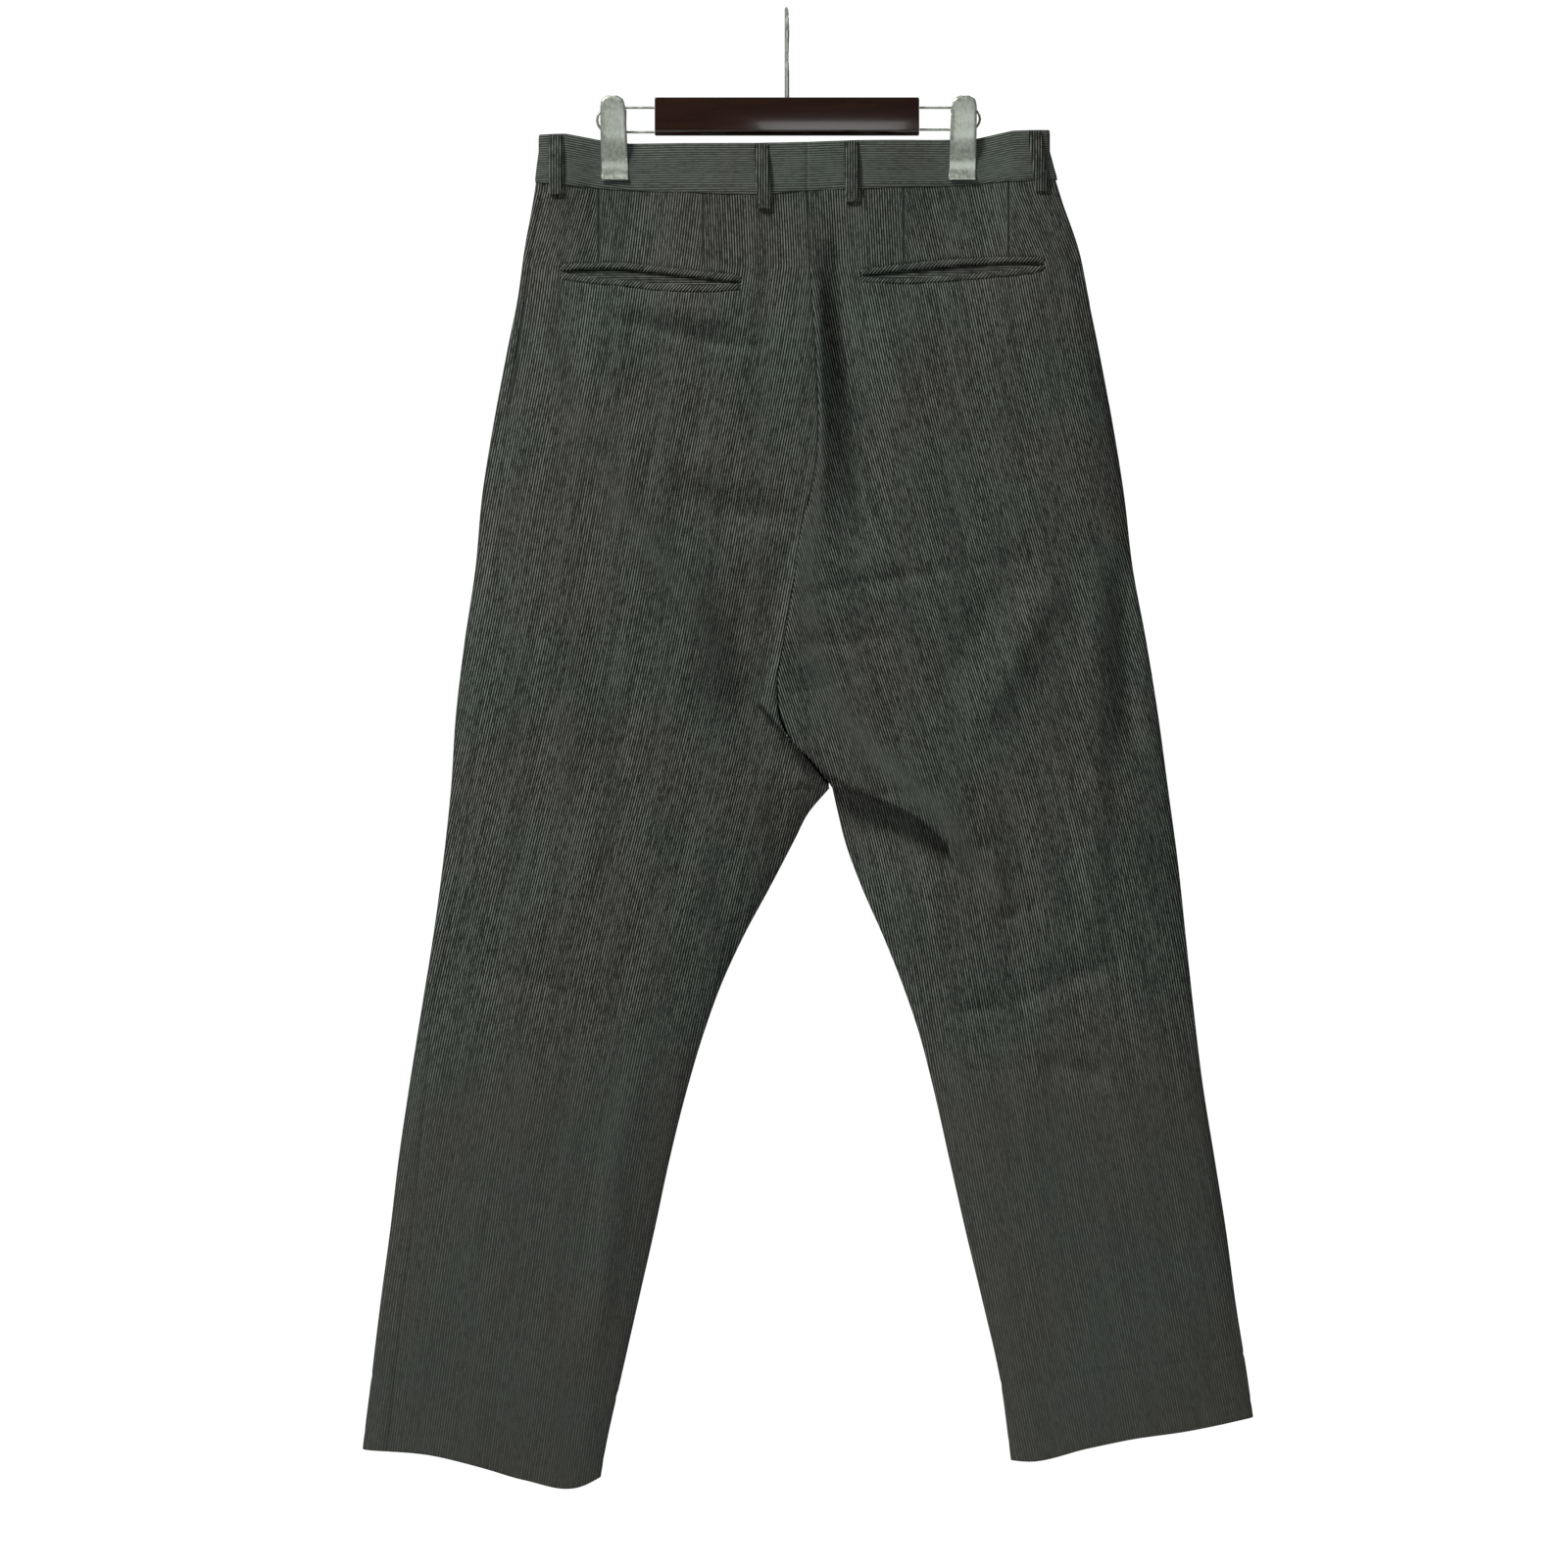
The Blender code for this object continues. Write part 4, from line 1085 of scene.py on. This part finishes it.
def horn_look():
    g = Graph("dark horn", Roughness=0.3)
    cloud = g.noise(g.place(), 160.0, 3.0)
    g.feed("Base Color", g.mix(
        cloud.between(0.35, 0.7), (0.012, 0.010, 0.008, 1.0), (0.055, 0.038, 0.022, 1.0),
    ))
    return g.material


def paint(thing, material):
    thing.data.materials.clear()
    thing.data.materials.append(material)
    return thing


# Waistband
def band_reach(leg):
    return abs(float(side_edge(leg, BAND_MIDDLE)) - MIDDLE_X)


def band_half(leg):
    """Half the band, from the centre back round the side to the front."""
    way = -1.0 if leg == "left" else 1.0
    width = band_reach(leg)
    reach = np.interp(
        np.linspace(0.0, 1.0, 97),
        (0.0, 0.85, 0.95, 1.0), (0.0, 0.92, 0.985, 1.0),
    )
    turn = np.concatenate([reach, 2.0 - reach[-2::-1]])
    across = 1.0 - np.abs(1.0 - turn)
    rows = np.linspace(0.0, 1.0, 25)[:, None]
    x = MIDDLE_X + way * width * across + 0.0 * rows
    z = band_top(x) + (band_foot(x) - band_top(x)) * rows
    x = MIDDLE_X + (side_edge(leg, z) - MIDDLE_X) * across
    z = band_top(x) + (band_foot(x) - band_top(x)) * rows
    y = band_spread(x) * lens(across, 14.0)
    y = np.where(turn < 1.0, -y, y)
    points = np.stack([x, y, z], axis=-1)
    ends = np.array([-34.0, -29.0, -22.0, -14.0, -5.0, 4.0, 11.0, 17.6])
    layer = np.array([0.0, 0.3, 1.0, 1.0, 1.0, 1.0, 1.0, 1.0])
    if leg == "right":
        ends = np.array([0.0, -6.0, -11.0, -15.6])
        layer = np.zeros(4)
    across = MIDDLE_X + ends + 0.0 * rows
    tail = np.stack([
        across,
        band_spread(across) + layer * (BAND_WALL + SEAM_GAP + 0.15),
        band_top(across) * (1.0 - rows) + band_foot(across) * rows,
    ], axis=-1)
    kept = (turn < 1.0) | (way * (points[0, :, 0] - MIDDLE_X - ends[0]) > 2.0)
    points = np.concatenate([points[:, kept], tail], axis=1)
    return points, grid_out(points, leg == "left")


def waistband(leg):
    points, out = band_half(leg)
    x, z = points[..., 0], points[..., 2]
    slow = 0.28 * np.sin(x / 9.0 + 1.4 * np.sin(z / 13.0)) + 0.16 * np.sin(x / 3.7 + z / 8.0)
    near_clip = np.minimum(np.abs(x - LEFT_CLIP), np.abs(x - RIGHT_CLIP))
    slow = slow * smooth((near_clip - 11.0) / 12.0)
    rows = np.linspace(0.0, 1.0, points.shape[0])[:, None]
    edge = np.minimum(rows, 1.0 - rows)
    roll = -0.5 * bell(edge / 0.04)
    seam = -0.7 * bell((x - MIDDLE_X) / 1.3) * (points[..., 1] < 0)
    points = points + out * (slow + roll + seam)[..., None]
    cloth_map = np.stack([(band_top(x) - z) * 1.08 * MM, run_along(points) * MM + 3.0], axis=-1)
    piece = lay_grid("waistband_cloth_" + leg, points, cloth_map)
    outward(piece, points, out)
    thicken(piece, BAND_WALL, 0.5)
    return piece


def outward(piece, points, out):
    """Faces agree with the grid's own outward directions."""
    row, place = points.shape[0] // 2, points.shape[1] // 4
    spot = Vector(points[row, place] * MM)
    way = Vector(out[row, place])
    nearest = min(piece.data.polygons, key=lambda face: (face.center - spot).length_squared)
    if nearest.normal.dot(way) < 0:
        piece.data.flip_normals()


def thicken(piece, wall, bevel=0.0):
    solidify = piece.modifiers.new("wall", "SOLIDIFY")
    solidify.thickness = wall * MM
    solidify.offset = 0.0
    if bevel:
        rounded = piece.modifiers.new("edge", "BEVEL")
        rounded.width = bevel * MM
        rounded.segments = 2


# Pockets
def spots_on(face, leg, x, z):
    """The panel's own surface, and its way out, at places across and down."""
    points, out = SURFACES[face, leg]
    rows = points[:, :, 2].mean(axis=1)
    spots = np.zeros((x.size, 3))
    ways = np.zeros((x.size, 3))
    for index, (px, pz) in enumerate(zip(x.ravel(), z.ravel())):
        r = int(np.clip(np.searchsorted(-rows, -pz) - 1, 0, len(rows) - 2))
        t = (pz - rows[r]) / (rows[r + 1] - rows[r])
        for target, grid in ((spots, points), (ways, out)):
            first, second = grid[r], grid[r + 1]
            order = np.argsort(points[r, :, 0])
            line = first[order] * (1 - t) + second[order] * t
            for k in range(3):
                target[index, k] = np.interp(px, points[r, order, 0], line[:, k])
    ways = unit(ways)
    spots[:, 0] = x.ravel()
    spots[:, 2] = z.ravel()
    return spots.reshape(*x.shape, 3), ways.reshape(*x.shape, 3)


def laid_strip(name, leg, x, upper, lower, profile, count):
    """A strip on the back between two lines, its profile the height off it."""
    rows = np.linspace(0.0, 1.0, count)[:, None]
    z = upper[None, :] + (lower - upper)[None, :] * rows
    px = x[None, :] + 0.0 * rows
    spots, ways = spots_on("back", leg, px, z)
    ends = smooth((px - x[0]) / 2.5) * smooth((x[-1] - px) / 2.5)
    lift = profile(rows + 0.0 * px, ends)
    points = spots + ways * lift[..., None]
    piece = lay_grid(name, points, np.stack([z * MM, px * MM], axis=-1))
    outward(piece, points, ways)
    return piece


def build_pocket(leg, bias, level):
    rows = POCKETS[leg]
    x = np.linspace(rows[0].across, rows[-1].across, 121)
    top, lens_top, lens_foot, foot = mouth_edges(leg, x)
    puff = 0.12 * np.sin(x / 5.1) + 0.08 * np.sin(x / 2.3 + 1.0)

    def bead(rows, ends):
        """A folded edge, thickest towards the mouth, its far edge sewn down."""
        round_it = np.sqrt(np.maximum(1.0 - np.abs(2.0 * rows - 1.0) ** 2.6, 0.0))
        return -1.1 + (1.9 + puff[None, :]) * round_it * (0.35 + 0.65 * ends)

    def floor(rows, ends):
        """The facing hangs just behind the upper jetting."""
        return -3.0 + 1.5 * rows + 0.6 * (1.0 - ends)

    folded = (bead, 11, bias, "suiting", 0.016)
    hidden = (floor, 7, level, "inner_cloth", 0.012)
    for name, node, high, low, (profile, count, look, slot, wide) in (
        ("jetting_upper_", "upper_jetting_", top + 0.3, lens_top - 0.25, folded),
        ("jetting_lower_", "lower_jetting_", lens_foot + 0.25, foot - 0.3, folded),
        ("facing_", "facing_", lens_top + 0.9, lens_foot - 0.9, hidden),
    ):
        piece = laid_strip(name + leg, leg, x, high, low, profile, count)
        settle(piece, look, slot, "pocket_" + node + leg)


# Belt loops
LOOPS = table(
    "name x lean face leg foot",
    ("back_left_side", -178.3, 0.2, "back", "left", -142),
    ("back_left", -18, 2.2, "back", "left", -153.3),
    ("back_right", 51, 1, "back", "right", -148.2),
    ("back_right_side", 195.5, 6, "back", "right", -139.8),
    ("front_left", -104, 0, "front", "left", -150),
    ("front_right", 113, 0, "front", "right", -149),
)
LOOP_PARTS = (0.0, 0.1, 0.22, 0.42, 0.62, 0.8, 0.9, 1.0)
LOOP_RISES = (0.0, 0.1, 1.3, 2.3, 2.3, 1.3, 0.3, 0.1)


def belt_loop(loop):
    way = -1.0 if loop.face == "back" else 1.0
    top = float(band_top(loop.x)) - 0.6
    parts = np.linspace(0.0, 1.0, 41)[:, None]
    across = np.linspace(-1.0, 1.0, 11)[None, :]
    rise = through(parts, LOOP_PARTS, LOOP_RISES)
    waver = 0.12 * np.sin(parts * 17.0 + loop.x)
    x = loop.x + across * LOOP_HALF + loop.lean * (parts - 0.5) + waver
    z = top + (loop.foot - top) * parts + 0.0 * across
    reach = np.abs(x - MIDDLE_X) / band_reach(loop.leg)
    cover = band_spread(x) * lens(reach, 14.0) + BAND_WALL / 2
    below = z < band_foot(x) + 6.0
    level = np.minimum(z, -142.0)
    spots, _ = spots_on(loop.face, loop.leg, x, level)
    cover = np.where(below, np.maximum(cover, np.abs(spots[..., 1]) + WALL / 2), cover)
    crown = 0.35 * (1.0 - across ** 2) - 0.55 * np.abs(across) ** 8
    points = np.stack([x, way * (cover + SEAM_GAP + 0.75 + rise + crown), z], axis=-1)
    cloth_map = np.stack([x * MM + 0.0004, z * MM], axis=-1)
    piece = lay_grid("loop_cloth_" + loop.name, points, cloth_map)
    outward(piece, points, np.array([0.0, way, 0.0]) + 0.0 * points)
    thicken(piece, 1.1, 0.3)
    return piece, points, way


# Thread
def stitches(name, ends, thick):
    """Short threads, each a little six-sided rod from end to end."""
    mesh = bmesh.new()
    for start, stop in ends:
        start, stop = Vector(start) * MM, Vector(stop) * MM
        run = stop - start
        turn = run.to_track_quat("Z", "Y").to_matrix().to_4x4()
        middle = Matrix.Translation((start + stop) / 2)
        bmesh.ops.create_cone(
            mesh, cap_ends=True, segments=6, radius1=thick * MM / 2,
            radius2=thick * MM / 2, depth=run.length, matrix=middle @ turn,
        )
    return finish_mesh(name, mesh)


def bar_tack(points, way, row):
    """Close threads across a loop, at one of its rows."""
    spots = np.linspace(points[row, 1], points[row, -2], 16) + (0.0, way * 0.7, 0.0)
    return [(spot + (0.15, 0.0, 0.9), spot - (0.15, 0.0, 0.9)) for spot in spots]


def line_stitches(face, leg, places, step, gap, lift):
    """Stitches along a line on a panel."""
    places = np.array(places, float)
    run = run_along(places[None])[0]
    starts = np.arange(0.0, run[-1] - step, step + gap)
    ends = []
    for at in (starts, starts + step):
        spots, ways = spots_on(face, leg, *(np.interp(at, run, places[:, k]) for k in range(2)))
        ends.append(spots + ways * lift)
    return list(zip(*ends))


# Hanger
def hanger_bar():
    mesh = bmesh.new()
    bmesh.ops.create_cube(mesh, size=1.0)
    bmesh.ops.scale(mesh, vec=(0.205, 0.0152, 0.029), verts=mesh.verts)
    bmesh.ops.translate(mesh, vec=(0.0008, 0.0, -0.0815), verts=mesh.verts)
    low = [e for e in mesh.edges if all(v.co.z < -0.09 for v in e.verts)]
    low = [e for e in low if abs(e.verts[0].co.x - e.verts[1].co.x) > 0.1]
    for edges, offset, segments in ((low, 0.0034, 1), (None, 0.0009, 3)):
        bmesh.ops.bevel(
            mesh, geom=edges or list(mesh.edges), offset=offset, offset_type="OFFSET",
            segments=segments, profile=0.5, affect="EDGES", material=-1,
        )
    piece = finish_mesh("hanger_bar_wood", mesh, soft=True)
    piece.data.set_sharp_from_angle(angle=math.radians(40))
    return piece


def clip_plate(name, clip, way, sign):
    """A sprung plate: domed at its top, lipped at its foot."""
    knots = np.array([-66.0, -68.5, -74.0, -86.0, -98.0, -108.0, -116.0, -127.0, -130.5])
    width = np.array([5.2, 8.2, 9.4, 9.7, 9.9, 10, 10.1, 10.2, 10.2])
    rise = np.array([4.6, 5.4, 5.9, 5.9, 5.4, 2.8, 0.0, 0.0, 1.1])
    rows = np.concatenate([
        np.linspace(-66.0, -72.0, 13)[:-1], np.linspace(-72.0, -126.0, 37)[:-1],
        np.linspace(-126.0, -130.5, 13),
    ])
    half = np.interp(rows, knots[::-1], width[::-1])
    dome = np.clip((-66.0 - rows) / 5.5, 0.0, 1.0)
    half = half * np.sqrt(np.maximum(1.0 - (1.0 - dome) ** 2.4, 0.0)) * 0.45 + half * 0.55
    lift = through(rows, knots, rise)
    lean = sign * -0.03
    across = np.interp(np.linspace(-1, 1, 17), (-1, -0.75, 0.75, 1), (-1, -0.88, 0.88, 1))
    x = clip + across * half[:, None] - lean * (rows[:, None] + 98.0)
    jaw = BAND_WALL + SEAM_GAP / 2 + SEAM_GAP + 0.1 + 0.6
    edge = -0.8 * np.abs(across) ** 10
    lip = 0.5 * bell((rows + 129.2) / 1.1)
    y = way * (jaw + lift[:, None] + edge * (lift[:, None] > 1.0) + lip[:, None])
    points = np.stack([x, y, rows[:, None] + 0.0 * x], axis=-1)
    piece = lay_grid(name, points, np.stack([x * MM, rows[:, None] * MM + 0.0 * x], axis=-1))
    outward(piece, points, np.array([0.0, way, 0.0]) + 0.0 * points)
    thicken(piece, 1.1, 0.25)
    return piece


def spring(leg, clip, sign, foot):
    """Wire wound in a coil along the clip's pivot."""
    middle = (-74.5 + foot) / 2
    radius = (-74.5 - foot) / 2 - 1.0 - SEAM_GAP - 0.6
    mesh = bmesh.new()
    ring = bmesh.ops.create_circle(mesh, cap_ends=False, segments=8, radius=0.6 * MM)
    start = Matrix.Translation((0.0, 0.0, radius * MM)) @ Matrix.Rotation(math.pi / 2, 4, "X")
    bmesh.ops.transform(mesh, matrix=start, verts=ring["verts"])
    turns = 8
    bmesh.ops.spin(
        mesh, geom=list(mesh.verts) + list(mesh.edges), cent=(0.0, 0.0, 0.0), axis=(1.0, 0.0, 0.0),
        dvec=(10.8 * MM / (turns * 20), 0.0, 0.0), angle=math.tau * turns, steps=turns * 20,
    )
    bmesh.ops.holes_fill(mesh, edges=[e for e in mesh.edges if len(e.link_faces) == 1], sides=8)
    left = min(clip - sign * 10.0, clip + sign * 2.0) + 0.6
    bmesh.ops.translate(mesh, verts=mesh.verts, vec=(left * MM, 0.0, middle * MM))
    bmesh.ops.recalc_face_normals(mesh, faces=mesh.faces)
    return finish_mesh("spring_wire_" + leg, mesh, soft=True)


# Button
def button():
    """A four-hole button: a rim turned round a dished middle."""
    x = BUTTON_X
    y = float(band_spread(x)) + BAND_WALL + SEAM_GAP + 0.15 + BAND_WALL / 2 + SEAM_GAP
    outline = ((0.0, 0.2), (7.4, 0.2), (8.3, 0.9), (8.4, 1.6), (8.0, 2.5), (7.2, 2.9),
               (6.3, 2.7), (5.6, 2.0), (4.6, 1.7), (0.0, 1.7))
    mesh = bmesh.new()
    verts = [mesh.verts.new((r * MM, h * MM, 0.0)) for r, h in outline]
    edges = [mesh.edges.new(pair) for pair in zip(verts[:-1], verts[1:])]
    bmesh.ops.spin(
        mesh, geom=verts + edges, cent=(0.0, 0.0, 0.0), axis=(0.0, 1.0, 0.0),
        angle=math.tau, steps=48, use_merge=True,
    )
    bmesh.ops.remove_doubles(mesh, verts=mesh.verts, dist=1e-6)
    bmesh.ops.recalc_face_normals(mesh, faces=mesh.faces)
    bmesh.ops.translate(mesh, verts=mesh.verts, vec=(x * MM, y * MM, BUTTON_LEVEL * MM))
    piece = finish_mesh("button_horn", mesh, soft=True)
    piece.data.set_sharp_from_angle(angle=math.radians(50))
    threads = []
    for dz in (-1.3, 1.3):
        for k in range(4):
            h = BUTTON_LEVEL + dz + 0.22 * (k - 1.5)
            threads.append(((x - 1.6, y + 1.75, h), (x + 1.6, y + 1.75, h)))
    # Painted shade: dark discs laid on the button's face where its holes are.
    holes = bmesh.new()
    for dx in (-1.8, 1.8):
        for dz in (-1.3, 1.3):
            spot = Vector(((x + dx) * MM, (y + 1.68) * MM, (BUTTON_LEVEL + dz) * MM))
            place = Matrix.Translation(spot) @ Matrix.Rotation(math.pi / 2, 4, "X")
            bmesh.ops.create_cone(
                holes, cap_ends=True, segments=16, radius1=0.75 * MM, radius2=0.75 * MM,
                depth=0.16 * MM, matrix=place,
            )
    return piece, stitches("button_thread", threads, 0.3), finish_mesh("button_hole_shade", holes)


def settle(piece, look, slot, *nodes):
    """Paints a piece and ties it to the frame."""
    paint(piece, look)
    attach(piece, "root")
    if nodes:
        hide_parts(*nodes)
    return piece


def build():
    """Every piece, dressed and tied to the frame."""
    body = suiting("striped suiting")
    darted = suiting("striped suiting with darts", darts=True)
    # Painted highlight: the band is painted paler (pale threads 1.3, blend 0.38) for the light
    # falling on it from above.
    banded = suiting("suiting of the band", 0.0, 1.3, False, blend=0.38)
    level = suiting("suiting across", 0.0, 0.8, False)
    bias = suiting("suiting on the bias", math.radians(47.0), 0.95, False)
    wood = wood_look()
    nickel = nickel_look()
    horn = horn_look()
    thread = plain("dark thread", (0.022, 0.024, 0.021), 0.7)
    # Painted shade for the button's holes.
    shadow = plain("button hole shade", (0.004, 0.004, 0.004), 0.9)
    for leg in ("left", "right"):
        for face, make in (("back", back_panel), ("front", front_panel)):
            look = darted if face == "back" else body
            piece = settle(make(leg), look, "suiting", "%s_panel_%s" % (face, leg))
        band = settle(waistband(leg), banded, "suiting", "waistband_" + leg)
        build_pocket(leg, bias, level)
    tacks = []
    for loop in LOOPS:
        piece, points, way = belt_loop(loop)
        settle(piece, body, "suiting", "belt_loop_" + loop.name)
        tacks += bar_tack(points, way, 2) + bar_tack(points, way, -3)
    settle(stitches("loop_tacks", tacks, 0.32), thread, "suiting")
    fly = [(MIDDLE_X + 38.0 - 1.0 * t, -143.0 - 110.0 * t) for t in np.linspace(0, 1, 12)]
    fly += [(MIDDLE_X + 37.0 - 34.0 * math.sin(a), -253.0 - 62.0 * (1 - math.cos(a)))
            for a in np.linspace(0.1, math.pi / 2, 14)]
    settle(
        stitches("fly_stitches", line_stitches("front", "right", fly, 2.2, 0.8, 0.12), 0.35),
        thread, "suiting",
    )
    settle(hanger_bar(), wood, "bar_wood", "hanger_bar")
    for leg, sign, clip, foot in (
        ("left", -1, LEFT_CLIP, -93.5), ("right", 1, RIGHT_CLIP, -91.5),
    ):
        for face, way in (("back", -1.0), ("front", 1.0)):
            plate = clip_plate("clip_steel_%s_%s" % (face, leg), clip, way, sign)
            settle(plate, nickel, "nickel", "clip_plate_%s_%s" % (face, leg))
        settle(spring(leg, clip, sign, foot), nickel, "nickel", "clip_spring_" + leg)
    disc, sewing, holes = button()
    settle(disc, horn, "horn", "waist_button")
    settle(sewing, thread, "horn")
    settle(holes, shadow, "horn")
    for name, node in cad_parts.items():
        if name.startswith(("hanger_hook", "hanger_wire")):
            paint(node, nickel)
        elif not node.hide_render:
            paint(node, plain("cloth " + name, (0.02, 0.021, 0.019), 0.9))


# Picture
def lamp(name, place, spot, size, power, tint):
    data = bpy.data.lights.new(name, "AREA")
    data.shape = "RECTANGLE"
    data.size, data.size_y = size
    data.energy = power
    data.color = tint
    thing = bpy.data.objects.new(name, data)
    bpy.context.scene.collection.objects.link(thing)
    thing.location = place
    way = Vector(spot) - thing.location
    thing.rotation_euler = way.to_track_quat("-Z", "Y").to_euler()


def set_world():
    """Soft light all round, and plain white behind."""
    world = bpy.data.worlds.new("pale room")
    bpy.context.scene.world = world
    world.use_nodes = True
    room = world.node_tree
    soft = room.nodes["Background"]
    soft.inputs[0].default_value = (1.0, 1.0, 1.0, 1.0)
    soft.inputs[1].default_value = 0.09
    seen = room.nodes.new("ShaderNodeBackground")
    seen.inputs[0].default_value = (1.0, 1.0, 1.0, 1.0)
    seen.inputs[1].default_value = 1.05
    ray = room.nodes.new("ShaderNodeLightPath")
    either = room.nodes.new("ShaderNodeMixShader")
    room.links.new(ray.outputs["Is Camera Ray"], either.inputs[0])
    room.links.new(soft.outputs[0], either.inputs[1])
    room.links.new(seen.outputs[0], either.inputs[2])
    room.links.new(either.outputs[0], room.nodes["World Output"].inputs[0])


def set_picture():
    set_world()
    bpy.context.scene.view_settings.view_transform = "Standard"
    lamp("key", (-2.05, -2.1, 2.85), (0.0, 0.0, -0.6), (0.9, 0.9), 198.0, (0.985, 1.0, 0.99))
    lamp("fill", (0.5, -3.8, -0.5), (0.0, 0.0, -0.6), (1.6, 1.6), 19.0, (0.98, 0.99, 1.0))
    lamp("behind", (1.5, 3.6, 1.3), (0.0, 0.0, -0.6), (1.4, 1.4), 95.0, (1.0, 1.0, 1.0))
    mesh = bmesh.new()
    bmesh.ops.create_grid(mesh, x_segments=1, y_segments=1, size=1.0)
    bmesh.ops.scale(mesh, verts=mesh.verts, vec=(2.0, 1.6, 1.0))
    bmesh.ops.translate(mesh, verts=mesh.verts, vec=(0.0, -0.3, -1.75))
    floor = finish_mesh("floor", mesh)
    paint(floor, plain("pale floor", (0.86, 0.86, 0.86), 0.9))
    camera = bpy.data.cameras.new("camera")
    camera.sensor_width = 36.0
    camera.lens = 177.6
    eye = bpy.data.objects.new("camera", camera)
    bpy.context.scene.collection.objects.link(eye)
    eye.location = (-0.0015, -6.0, -0.599)
    eye.rotation_euler = (math.pi / 2, 0.0, 0.0)
    bpy.context.scene.camera = eye


build()
set_picture()
bpy.context.view_layer.update()
